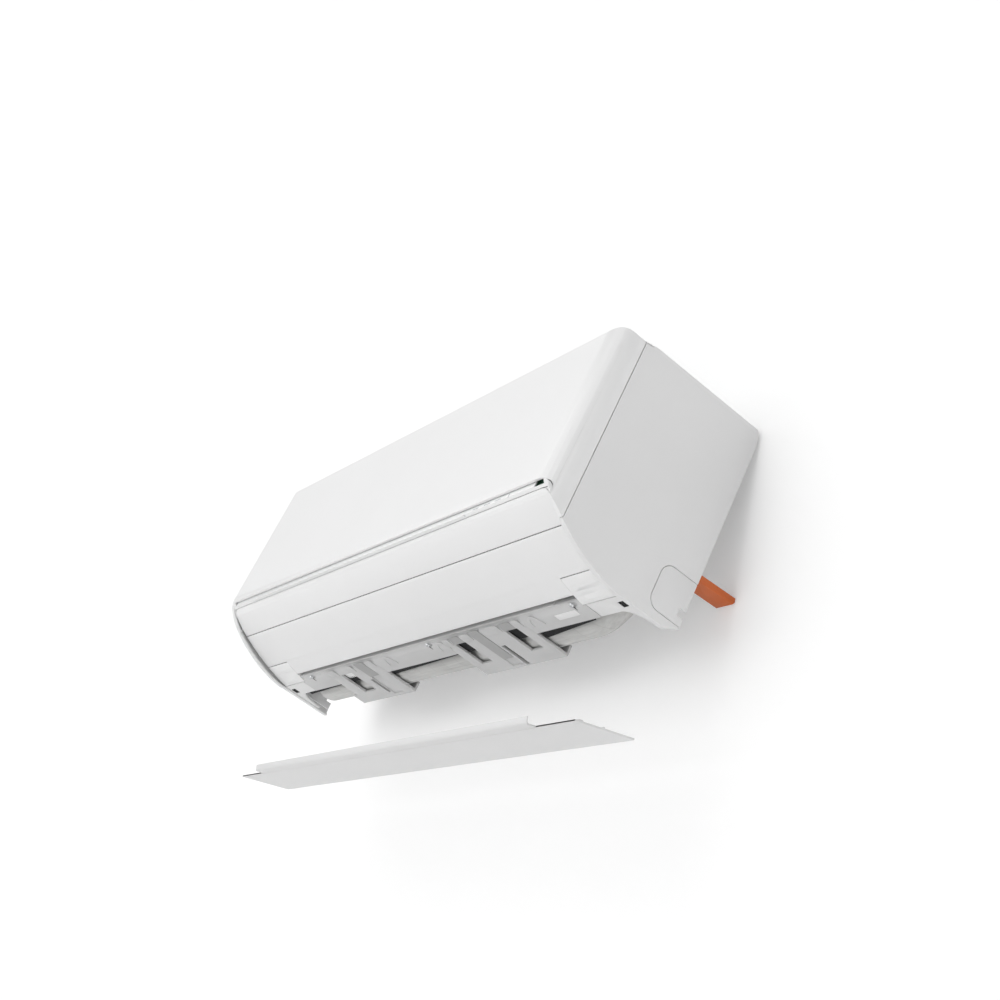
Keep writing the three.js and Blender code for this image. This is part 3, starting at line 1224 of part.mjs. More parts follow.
/** Folding stand, drawn level from its pin and then raised to its working angle. */
function supportStand() {
  const t = STAND_THICK / 2;
  const outline = [[-t, -t], [STAND_LENGTH - 2, -t], [STAND_LENGTH, -t + 3], [STAND_LENGTH - 1, t], [-t, t]];
  let bar = alongX(outline, STAND_X0, STAND_X1);
  bar = bar.subtract(block(STAND_X0 + 6, STAND_X1 - 6, 8, STAND_LENGTH - 8, t - 2.5, t + 1));
  const inner = [STAND_X0 + EAR + GAP, STAND_X1 - EAR - GAP];
  const shoulder = t + KNUCKLE_PLAY;
  const knuckle = block(STAND_X0 - 1, inner[0], -t - 1, shoulder, -t - 1, t + 1)
    .add(block(inner[1], STAND_X1 + 1, -t - 1, shoulder, -t - 1, t + 1));
  return bar.subtract(knuckle).subtract(rod(STAND_X0 - 1, STAND_X1 + 1, 0, 0, STAND_PIN + GAP));
}

/** Forked bracket with the stand's pin, fixed behind the right end of the casing. */
function standBracket() {
  const t = STAND_THICK / 2;
  const ears = [STAND_X0, STAND_X1 - EAR].map((x) => (
    block(x, x + EAR, -20, t, -t, t)));
  const pin = rod(STAND_X0 + 1, STAND_X1 - 1, 0, 0, STAND_PIN);
  const bridge = block(STAND_X0, STAND_X1, -20, -16, -t, t);
  const tail = block(BOX.x1 - 12, STAND_X1, -20 - (STAND_Y - 20 - BOX.y1 - GAP), -19, -t, t);
  return union([...ears, pin, bridge, tail]);
}

/** Latch post and rear hook that stand on the inside of the cover, at its right end. */
function coverLatch(top) {
  const [near, far, slotFront, slotRear] = HOOK_SLOT;
  const { inset, width, front, rear, rise, wall, shelf } = COVER_HOOK;
  const post = block(near + 2, far - 2, slotFront + 2, slotRear - 2, top - 0.5, top + COVER_POST);
  const hook = alongX([
    [front, top - 0.5], [rear, top - 0.5], [rear, top + shelf], [front + wall, top + shelf],
    [front + wall, top + rise], [front, top + rise],
  ], COVER_HALF - inset - width, COVER_HALF - inset);
  return [post, hook];
}

function bottomCover() {
  const foot = FLOOR - GAP - COVER_WALL;
  const rear = COVER_FRONT + COVER_DEPTH;
  const plate = block(-COVER_HALF, COVER_HALF, COVER_FRONT, rear, foot, foot + COVER_WALL);
  const tip = COVER_FRONT - TONGUE_REACH;
  const lean = tip + TONGUE_LEAN;
  const tongue = alongX([
    [COVER_FRONT + 2, foot], [lean + 3, foot + 0.2], [lean + 0.8, foot + 1], [lean, foot + 2.6],
    [tip, foot + TONGUE_RISE], [tip + TONGUE_WALL, foot + TONGUE_RISE],
    [lean + TONGUE_WALL, foot + 3.4], [lean + 3, foot + COVER_WALL], [COVER_FRONT + 2, foot + COVER_WALL],
  ], -TONGUE_HALF, TONGUE_HALF);
  const right = coverLatch(foot + COVER_WALL);
  return union([plate, tongue, ...right, ...right.map((piece) => piece.mirror([1, 0, 0]))]);
}

// ---- Assembly ---------------------------------------------------------------------------------------

const FINISH = {
  panel: { color: '#f1f1f1', roughness: 0.42, metalness: 0 },
  casing: { color: '#ececec', roughness: 0.45, metalness: 0 },
  base: { color: '#d6d6d6', roughness: 0.6, metalness: 0 },
  inner: { color: '#c9cbcc', roughness: 0.65, metalness: 0 },
  foam: { color: '#dedede', roughness: 0.8, metalness: 0 },
  orange: { color: '#c96a3b', roughness: 0.5, metalness: 0 },
  zinc: { color: '#a9adb0', roughness: 0.4, metalness: 0.9 },
  steel: { color: '#c8ccd0', roughness: 0.25, metalness: 1 },
  fin: { color: '#b9bec3', roughness: 0.35, metalness: 0.9 },
  copper: { color: '#b4693f', roughness: 0.3, metalness: 1 },
  black: { color: '#26282a', roughness: 0.6, metalness: 0 },
  green: { color: '#2f6b45', roughness: 0.5, metalness: 0 },
  net: { color: '#5b6166', roughness: 0.7, metalness: 0 },
};

function mesh(name, manifold, finish) {
  const data = manifold.getMesh();
  const geometry = new THREE.BufferGeometry();
  geometry.setAttribute('position', new THREE.BufferAttribute(new Float32Array(data.vertProperties), 3));
  geometry.setIndex(new THREE.BufferAttribute(new Uint32Array(data.triVerts), 1));
  const part = new THREE.Mesh(geometry, new THREE.MeshStandardMaterial(FINISH[finish]));
  part.name = name;
  return part;
}

function addCasing(unit) {
  const skin = casingSkin();
  unit.add(mesh('front_panel', frontPanel(skin), 'panel'));
  unit.add(mesh('cabinet_shell', cabinetShell(skin), 'casing'));
  unit.add(mesh('left_side_cap', sideCap(-1), 'casing'));
  unit.add(mesh('right_side_cap', sideCap(1), 'casing'));
  unit.add(mesh('front_frame', frontFrame(), 'base'));
  unit.add(mesh('display_strip', displayStrip(), 'panel'));
  unit.add(mesh('display_board', displayBoard(), 'green'));
  unit.add(mesh('service_button', serviceButton(), 'inner'));
  unit.add(mesh('upper_flap', upperFlap(), 'panel'));
  unit.add(mesh('lower_flap', lowerFlap(), 'panel'));
  unit.add(mesh('left_end_block', endBlock(-1), 'casing'));
  unit.add(mesh('right_end_block', endBlock(1), 'casing'));
}

function addAirPath(unit) {
  unit.add(mesh('chassis_frame', chassisFrame(), 'base'));
  unit.add(mesh('drain_pan', drainPan(), 'inner'));
  unit.add(mesh('front_coil', coilSlab(FRONT_COIL), 'fin'));
  unit.add(mesh('upper_coil', coilSlab(UPPER_COIL), 'fin'));
  unit.add(mesh('rear_coil', coilSlab(REAR_COIL), 'fin'));
  unit.add(mesh('left_coil_plate', coilPlate(-1), 'zinc'));
  unit.add(mesh('right_coil_plate', coilPlate(1), 'zinc'));
  unit.add(mesh('fan_rotor', fanRotor(), 'black'));
  unit.add(mesh('fan_shaft', fanShaft(), 'steel'));
  unit.add(mesh('fan_bearing', fanBearing(), 'black'));
  unit.add(mesh('fan_motor', fanMotor(), 'zinc'));
  unit.add(mesh('motor_clamp', motorClamp(), 'inner'));
  unit.add(mesh('intake_grille', intakeGrille(), 'casing'));
  unit.add(mesh('left_filter', filterTray(0), 'net'));
  unit.add(mesh('right_filter', filterTray(1), 'net'));
  const places = vanePlaces();
  places.forEach((x, i) => unit.add(mesh(`vane_${i + 1}`, vane(x), 'inner')));
  unit.add(mesh('left_vane_link', vaneLink(places.slice(0, VANES_PER_BANK)), 'inner'));
  unit.add(mesh('right_vane_link', vaneLink(places.slice(VANES_PER_BANK)), 'inner'));
}

function addDrives(unit) {
  const linkZ = above(VANE_PIVOT - LINK_ARM);
  const linkY = VANE_FRONT + 10;
  const left = -LEFT_BULKHEAD - GAP;
  const right = RIGHT_BULKHEAD + GAP;
  unit.add(mesh('left_vane_motor', stepMotor(left - 18, left, linkY, linkZ, DUCT_LEFT + 2), 'steel'));
  unit.add(mesh('right_vane_motor', stepMotor(right, right + 18, linkY, linkZ, DUCT_RIGHT - 2), 'steel'));
  const shelf = above(29) + GAP + 12;
  unit.add(mesh('lower_flap_motor', stepMotor(HALF - 43, HALF - 25, 114, shelf, HALF - 51), 'steel'));
  unit.add(mesh('control_box', controlBox(), 'zinc'));
  unit.add(mesh('control_board', controlBoard(), 'green'));
  unit.add(mesh('control_cover', controlCover(), 'zinc'));
  unit.add(mesh('terminal_block', terminalBlock(), 'inner'));
}

function addUnderside(unit) {
  unit.add(mesh('outlet_lip', outletLip(), 'base'));
  for (const [name, bracket] of Object.entries(BRACKETS)) {
    unit.add(mesh(name, pipeBracket(bracket), 'base'));
  }
  for (const [name, x] of Object.entries(LIP_SCREWS)) unit.add(mesh(name, lipScrew(x), 'steel'));
  unit.add(mesh('pipe_bundle', pipeBundle(), 'foam'));
  unit.add(mesh('gas_pipe', copperPipe(8, 5, -106), 'copper'));
  unit.add(mesh('liquid_pipe', copperPipe(-8, 3.2, -128), 'copper'));
  unit.add(mesh('drain_hose', drainHose(), 'foam'));
}

function addStand(unit) {
  const place = new THREE.Group();
  place.position.set(0, STAND_Y, STAND_Z);
  place.add(mesh('stand_bracket', standBracket(), 'base'));
  const arm = new THREE.Group();
  arm.rotation.x = STAND_RISE;
  arm.add(mesh('support_stand', supportStand(), 'orange'));
  place.add(arm);
  unit.add(place);
}

/** The cover hangs below the unit, turned level, and reaches its seat along an arc. */
function addCover(unit) {
  const [dropY, dropZ] = COVER_DROP;
  const spread = 2 * Math.tan(COVER_OFF / 2);
  const seatY = COVER_FRONT + COVER_DEPTH / 2;
  const seatZ = FLOOR - GAP - COVER_WALL;
  const pole = new THREE.Vector3(0, seatY + dropY / 2 - dropZ / spread, seatZ + dropZ / 2 + dropY / spread);
  const swing = new THREE.Group();
  swing.position.copy(pole);
  swing.rotation.x = COVER_OFF;
  const cover = mesh('bottom_cover', bottomCover(), 'casing');
  cover.position.copy(pole).negate();
  swing.add(cover);
  unit.add(swing);
}

function build() {
  const whole = new THREE.Group();
  const wall = new THREE.Group();
  wall.position.set(0, -DEPTH, FRAME_DROP);
  wall.add(mesh('mounting_plate', mountingPlate(), 'zinc'));
  whole.add(wall);

  const hang = new THREE.Group();
  hang.position.set(0, PIVOT_Y - DEPTH, PIVOT_Z + FRAME_DROP);
  hang.rotation.x = -SWING_TILT;
  const unit = new THREE.Group();
  unit.position.set(0, -PIVOT_Y, -PIVOT_Z);
  addCasing(unit);
  addAirPath(unit);
  addDrives(unit);
  addUnderside(unit);
  addStand(unit);
  addCover(unit);
  hang.add(unit);
  whole.add(hang);
  return whole;
}

export default build();
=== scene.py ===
"""Looks of a wall-hung mini split indoor unit, shown while it is being fitted.

The unit hangs on its wall plate, leans out at the bottom on a folding stand, and its bottom cover hangs
level below it. Lengths are in metres. Row frame: X right as seen from the room, Y into the wall, Z up.
Unit frame: the same axes on the leaning unit, with Y = 0 on its front face and Z = 0 on its top.
"""

import json
import logging
import math
from dataclasses import dataclass
from enum import Enum
from typing import Callable, Iterable, Sequence

import bmesh
import bpy
from mathutils import Matrix, Vector

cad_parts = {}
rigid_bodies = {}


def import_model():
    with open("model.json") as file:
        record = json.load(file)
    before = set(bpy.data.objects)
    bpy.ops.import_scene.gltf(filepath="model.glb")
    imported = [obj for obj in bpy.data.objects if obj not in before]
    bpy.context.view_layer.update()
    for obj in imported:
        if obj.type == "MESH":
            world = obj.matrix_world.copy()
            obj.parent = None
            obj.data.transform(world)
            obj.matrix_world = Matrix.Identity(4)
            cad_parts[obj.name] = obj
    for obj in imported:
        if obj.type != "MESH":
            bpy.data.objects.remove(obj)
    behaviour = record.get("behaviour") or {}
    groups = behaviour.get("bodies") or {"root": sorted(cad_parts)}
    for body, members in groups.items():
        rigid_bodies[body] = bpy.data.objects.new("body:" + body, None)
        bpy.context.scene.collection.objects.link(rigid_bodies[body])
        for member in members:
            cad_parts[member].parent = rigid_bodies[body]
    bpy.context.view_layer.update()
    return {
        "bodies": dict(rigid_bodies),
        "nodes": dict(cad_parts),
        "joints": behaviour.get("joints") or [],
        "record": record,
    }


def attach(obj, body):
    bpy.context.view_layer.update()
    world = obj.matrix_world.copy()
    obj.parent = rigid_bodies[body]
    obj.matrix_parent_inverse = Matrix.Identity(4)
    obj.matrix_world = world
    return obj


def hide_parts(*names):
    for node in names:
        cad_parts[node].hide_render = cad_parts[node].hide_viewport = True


LOG = logging.getLogger("indoor_unit")
MM = 0.001
UNIT_BODY = "unit"
LEAN = 15.7
RAIL_IN_ROW = (0.0, -4.7, 114.0)
RAIL_IN_UNIT = (0.0, 206.3, -9.0)
Point = tuple[float, float, float]


class Slot(Enum):
    """Material slots of the record."""

    PANEL = "panel_plastic"
    CASING = "casing_plastic"
    BASE = "base_plastic"
    INNER = "inner_plastic"
    BLACK = "black_plastic"
    NET = "filter_net"
    FIN = "fin_stack"
    ZINC = "zinc_sheet"
    STEEL = "bright_steel"
    COPPER = "copper"
    FOAM = "foam_wrap"
    BOARD = "board_green"
    ORANGE = "orange_plastic"


def linear(code: str) -> Point:
    """Turns a colour code into linear light.

    Args:
        code: Colour as #rrggbb.

    Returns:
        Red, green and blue from 0 to 1.
    """
    parts = [int(code[i:i + 2], 16) / 255 for i in (1, 3, 5)]
    return tuple(c / 12.92 if c <= 0.04045 else ((c + 0.055) / 1.055) ** 2.4 for c in parts)


# ---- Shader maths -----------------------------------------------------------------------------------


class Wire:
    """One number output of a shader node, with maths written as Python operators."""

    def __init__(self, graph: "Graph", socket: bpy.types.NodeSocket) -> None:
        """Keeps the socket and the graph it lives in."""
        self.graph = graph
        self.socket = socket

    def _maths(self, operation: str, first: object, second: object = None) -> "Wire":
        """Adds one Math node and returns its output."""
        values = {0: first} if second is None else {0: first, 1: second}
        return self.graph.node("ShaderNodeMath", {"operation": operation}, values)

    def __add__(self, other: object) -> "Wire":
        """Sum."""
        return self._maths("ADD", self, other)

    __radd__ = __add__

    def __sub__(self, other: object) -> "Wire":
        """Difference."""
        return self._maths("SUBTRACT", self, other)

    def __rsub__(self, other: object) -> "Wire":
        """Difference from a number."""
        return self._maths("SUBTRACT", other, self)

    def __mul__(self, other: object) -> "Wire":
        """Product."""
        return self._maths("MULTIPLY", self, other)

    __rmul__ = __mul__

    def __truediv__(self, other: object) -> "Wire":
        """Quotient."""
        return self._maths("DIVIDE", self, other)

    def __gt__(self, other: object) -> "Wire":
        """One where this is larger, else zero."""
        return self._maths("GREATER_THAN", self, other)

    def fraction(self) -> "Wire":
        """The part after the decimal point."""
        return self._maths("FRACT", self)

    def distance(self, other: object) -> "Wire":
        """How far this is from another value."""
        return self._maths("ABSOLUTE", self - other)

    def angle_over(self, other: "Wire") -> "Wire":
        """Angle whose tangent is this over the other, in radians."""
        return self._maths("ARCTAN2", self, other)


class Graph:
    """A material's node tree with one principled surface."""

    def __init__(self, name: str) -> None:
        """Starts an empty material with its surface and its Object coordinates."""
        self.material = bpy.data.materials.new(name)
        self.material.use_nodes = True
        self.tree = self.material.node_tree
        self.tree.nodes.clear()
        self.surface = self.tree.nodes.new("ShaderNodeBsdfPrincipled")
        output = self.tree.nodes.new("ShaderNodeOutputMaterial")
        self.tree.links.new(self.surface.outputs["BSDF"], output.inputs["Surface"])
        self.place = self.node("ShaderNodeTexCoord", output="Object")

    def node(self, kind: str, settings: dict | None = None, values: dict | None = None,
             output: object = 0) -> Wire:
        """Adds any node.

        Args:
            kind: Blender's name for the node type.
            settings: Properties set first; "stops" holds a ramp's (position, colour) pairs.
            values: Numbers, colours or wires for its inputs, by name or number.
            output: Name or number of the output that is wanted.

        Returns:
            That output.
        """
        made = self.tree.nodes.new(kind)
        for key, value in (settings or {}).items():
            if key == "stops":
                self._ramp(made.color_ramp, value)
            else:
                setattr(made, key, value)
        for key, value in (values or {}).items():
            self.feed(made.inputs[key], value)
        return Wire(self, made.outputs[output])

    @staticmethod
    def _ramp(ramp: bpy.types.ColorRamp, stops: Sequence[tuple[float, Point]]) -> None:
        """Sets a ramp's stops."""
        while len(ramp.elements) < len(stops):
            ramp.elements.new(1.0)
        for element, (position, colour) in zip(ramp.elements, stops):
            element.position = position
            element.color = (*colour, 1.0)

    def feed(self, socket: bpy.types.NodeSocket, value: object) -> None:
        """Links a wire to an input, or sets the input's own value."""
        if isinstance(value, Wire):
            self.tree.links.new(value.socket, socket)
        elif isinstance(value, tuple) and len(value) == 3 and socket.type == "RGBA":
            socket.default_value = (*value, 1.0)
        else:
            socket.default_value = value

    def set(self, **values: object) -> None:
        """Sets the surface's inputs; an underscore in a name stands for a space."""
        for key, value in values.items():
            self.feed(self.surface.inputs[key.replace("_", " ")], value)

    def noise(self, scale: float, detail: float = 2.0, rough: float = 0.5) -> Wire:
        """Cloudy noise from 0 to 1 on Object coordinates."""
        return self.node("ShaderNodeTexNoise", None,
                         {"Vector": self.place, "Scale": scale, "Detail": detail, "Roughness": rough})

    def axis(self, name: str) -> Wire:
        """One Object coordinate, by its letter."""
        return self.node("ShaderNodeSeparateXYZ", None, {"Vector": self.place}, name)

    def blend(self, share: Wire, first: Point, second: Point) -> Wire:
        """Colour between two colours by a share from 0 to 1."""
        return self.node("ShaderNodeMix", {"data_type": "RGBA"}, {0: share, 6: first, 7: second}, 2)

    def soften(self, value: Wire, low: float, high: float) -> Wire:
        """Stretches a value so that low gives 0 and high gives 1, and clips it there."""
        return self.node("ShaderNodeMapRange", {"clamp": True},
                         {"Value": value, "From Min": low, "From Max": high})

    def bump(self, height: Wire, depth: float, strength: float = 1.0) -> None:
        """Feeds a relief of that depth in metres to the surface."""
        self.set(Normal=self.node("ShaderNodeBump", None,
                                  {"Height": height, "Distance": depth, "Strength": strength}))


# ---- Finishes ---------------------------------------------------------------------------------------


@dataclass(frozen=True)
class Finish:
    """A finish: its record slot, colour and roughness."""

    name: str
    slot: Slot
    colour: str
    rough: float = 0.45

    def paint(self, graph: Graph) -> None:
        """Sets the surface; each kind of finish does this in its own way."""
        raise NotImplementedError

    def material(self) -> bpy.types.Material:
        """The material, made once."""
        found = bpy.data.materials.get(self.name)
        if found:
            return found
        graph = Graph(self.name)
        self.paint(graph)
        return graph.material


@dataclass(frozen=True)
class Moulding(Finish):
    """Injection-moulded plastic: fine spark grain, faint flow clouds and a little dust in the grain."""

    grain: float = 900.0
    relief: float = 0.00002
    cloud: float = 0.02

    def paint(self, graph: Graph) -> None:
        """Colour clouds, grained roughness and relief."""
        tone = linear(self.colour)
        dull = tuple(c * (1 - self.cloud * 2) for c in tone)
        clouds = graph.noise(7.0, 3.0, 0.6)
        grain = graph.noise(self.grain, 2.0, 0.6)
        sweep = graph.noise(2.2, 1.0)
        graph.set(
            Base_Color=graph.blend(graph.soften(clouds, 0.3, 0.7), dull, tone),
            Roughness=(grain - 0.5) * 0.12 + (sweep - 0.5) * 0.06 + self.rough,
            Specular_IOR_Level=0.42,
        )
        graph.bump(grain, self.relief)


@dataclass(frozen=True)
class ZincSheet(Finish):
    """Zinc-coated sheet with its crystal pattern and rolling lines."""

    def paint(self, graph: Graph) -> None:
        """Crystal patches under faint rolling lines."""
        tone = linear(self.colour)
        crystal = graph.node("ShaderNodeTexVoronoi", None, {"Vector": graph.place, "Scale": 70.0}, "Color")
        shade = graph.node("ShaderNodeSeparateColor", None, {"Color": crystal}, "Red")
        lines = graph.node("ShaderNodeTexNoise", None, {
            "Vector": graph.node("ShaderNodeMapping", None, {"Vector": graph.place, "Scale": (4, 900, 900)}),
            "Scale": 1.0, "Detail": 2.0})
        share = graph.soften(shade * 0.7 + lines * 0.3, 0.1, 0.9)
        graph.set(
            Base_Color=graph.blend(share, tuple(c * 0.72 for c in tone), tone),
            Metallic=0.85,
            Roughness=shade * 0.16 + (lines - 0.5) * 0.1 + self.rough,
        )
        graph.bump(lines, 0.00001)


@dataclass(frozen=True)
class BrightMetal(Finish):
    """Plated or drawn metal with light draw marks and handling haze."""

    def paint(self, graph: Graph) -> None:
        """Haze clouds over fine draw marks."""
        tone = linear(self.colour)
        haze = graph.noise(60.0, 3.0)
        marks = graph.noise(1400.0, 2.0)
        graph.set(
            Base_Color=graph.blend(graph.soften(haze, 0.3, 0.7), tuple(c * 0.8 for c in tone), tone),
            Metallic=1.0,
            Roughness=haze * 0.12 + (marks - 0.5) * 0.08 + self.rough,
        )
        graph.bump(marks, 0.000008)


@dataclass(frozen=True)
class FinStack(Finish):
    """Closely stacked fins that show as lines across the coil."""

    pitch: float = 0.0016

    def paint(self, graph: Graph) -> None:
        """Fin edges in the metal's colour, with painted shade darkening the gaps between them."""
        tone = linear(self.colour)
        phase = (graph.axis("X") / self.pitch).fraction().distance(0.5)
        edge = graph.soften(phase, 0.12, 0.3)
        dents = graph.noise(40.0, 3.0)
        graph.set(
            # The near-black colour between the fin edges is painted shade in the gaps.
            Base_Color=graph.blend(edge * (dents * 0.5 + 0.5), tuple(c * 0.16 for c in tone), tone),
            Metallic=0.8,
            Roughness=dents * 0.2 + self.rough,
        )
        graph.bump(edge, 0.0004)


@dataclass(frozen=True)
class TapeWrap(Finish):
    """Pale foam sleeve wound with overlapping tape, with small creases."""

    pitch: float = 0.034
    middle_y: float = -0.102
    middle_z: float = -0.115

    def paint(self, graph: Graph) -> None:
        """A slanting lap line each turn of the tape, and creases along it."""
        tone = linear(self.colour)
        turn = (graph.axis("Y") - self.middle_y).angle_over(graph.axis("Z") - self.middle_z) / (2 * math.pi)
        phase = (graph.axis("X") / self.pitch + turn).fraction()
        lap = 1 - graph.soften(phase, 0.0, 0.07)
        creases = graph.node("ShaderNodeTexNoise", None, {
            "Vector": graph.node("ShaderNodeMapping", None, {"Vector": graph.place, "Scale": (14, 190, 190)}),
            "Scale": 1.0, "Detail": 3.0, "Roughness": 0.55})
        clouds = graph.noise(18.0, 3.0)
        share = graph.soften(clouds * 0.35 + creases * 0.65 - lap * 0.12, 0.2, 0.62)
        graph.set(
            Base_Color=graph.blend(share, tuple(c * 0.7 for c in tone), tone),
            Roughness=creases * 0.2 + self.rough,
        )
        graph.bump(creases + phase * 0.12, 0.0009)


@dataclass(frozen=True)
class FineNet(Finish):
    """Fine filter net: crossing threads with dark meshes between them."""

    pitch: float = 0.0018

    def paint(self, graph: Graph) -> None:
        """Threads along X and along the net's depth."""
        tone = linear(self.colour)
        across = (graph.axis("X") / self.pitch).fraction().distance(0.5)
        along = (graph.axis("Y") / self.pitch).fraction().distance(0.5)
        thread = graph.node("ShaderNodeMath", {"operation": "MAXIMUM"}, {0: across, 1: along})
        share = graph.soften(thread, 0.3, 0.42)
        dust = graph.noise(90.0, 3.0)
        graph.set(
            Base_Color=graph.blend(share * (dust * 0.4 + 0.6), tuple(c * 0.3 for c in tone), tone),
            Roughness=dust * 0.2 + self.rough,
        )
        graph.bump(share, 0.0003)


@dataclass(frozen=True)
class Lacquer(Finish):
    """Lacquered circuit board with darker tracks."""

    def paint(self, graph: Graph) -> None:
        """Tracks from a stepped cell pattern."""
        tone = linear(self.colour)
        cells = graph.node("ShaderNodeTexVoronoi", {"distance": "MANHATTAN", "feature": "F1"},
                           {"Vector": graph.place, "Scale": 130.0}, "Distance")
        track = graph.soften((cells * 3.0).fraction().distance(0.5), 0.2, 0.3)
        haze = graph.noise(30.0, 2.0)
        graph.set(
            Base_Color=graph.blend(track, tuple(c * 0.55 for c in tone), tone),
            Roughness=haze * 0.15 + self.rough,
            Coat_Weight=0.4,
        )
        graph.bump(track, 0.00005)


class Palette(Enum):
    """The unit's finishes."""

    PANEL = Moulding("panel_white", Slot.PANEL, "#f2f2f2", 0.36, relief=0.000006, cloud=0.006)
    FLAP = Moulding("flap_white", Slot.PANEL, "#f5f5f5", 0.4, relief=0.000008, cloud=0.008)
    CASING = Moulding("casing_white", Slot.CASING, "#ececec", 0.46, relief=0.00002, cloud=0.01)
    # The cover is the casing plastic painted a little darker: painted shade for its downward face.
    COVER = Moulding("cover_white_shaded", Slot.CASING, "#e4e4e4", 0.48, relief=0.00002, cloud=0.01)
    BASE = Moulding("base_grey", Slot.BASE, "#d2d2d2", 0.55, cloud=0.02)
    CHASSIS = Moulding("chassis_grey", Slot.BASE, "#c4c4c4", 0.58, cloud=0.03)
    INNER = Moulding("inner_grey", Slot.INNER, "#c9cbcc", 0.55, cloud=0.03)
    PAD = Moulding("pad_white", Slot.INNER, "#f3f3f3", 0.7, grain=500.0, relief=0.00006)
    PRINT = Moulding("printed_mark", Slot.INNER, "#bcc0c4", 0.5, grain=1200.0)
    # Grey a little darker than the base, used only as painted shade on the channel floors between the ribs.
    RECESS = Moulding("recess_painted_shade", Slot.BASE, "#b2b2b2", 0.6, cloud=0.02)
    BLACK = Moulding("black_plastic", Slot.BLACK, "#26282a", 0.5, cloud=0.1)
    # Near-black finish for plates that stand in for shade: painted shade in slots, gaps and beside the screws.
    POCKET = Moulding("painted_shade_dark", Slot.BLACK, "#141517", 0.8, cloud=0.1)
    ORANGE = Moulding("stand_orange", Slot.ORANGE, "#d76c34", 0.42, grain=700.0, cloud=0.04)
    ZINC = ZincSheet("zinc_sheet", Slot.ZINC, "#b4b8bb", 0.3)
    STEEL = BrightMetal("bright_steel", Slot.STEEL, "#d5d8da", 0.16)
    COPPER = BrightMetal("copper_tube", Slot.COPPER, "#b8714a", 0.24)
    FIN = FinStack("fin_stack", Slot.FIN, "#c4c9cd", 0.3)
    FOAM = TapeWrap("tape_wrap", Slot.FOAM, "#d9d9d7", 0.6)
    NET = FineNet("filter_net", Slot.NET, "#868c91", 0.6)
    BOARD = Lacquer("board_green", Slot.BOARD, "#2f6b45", 0.4)


# ---- Bench: the modelling operators -------------------------------------------------------------------


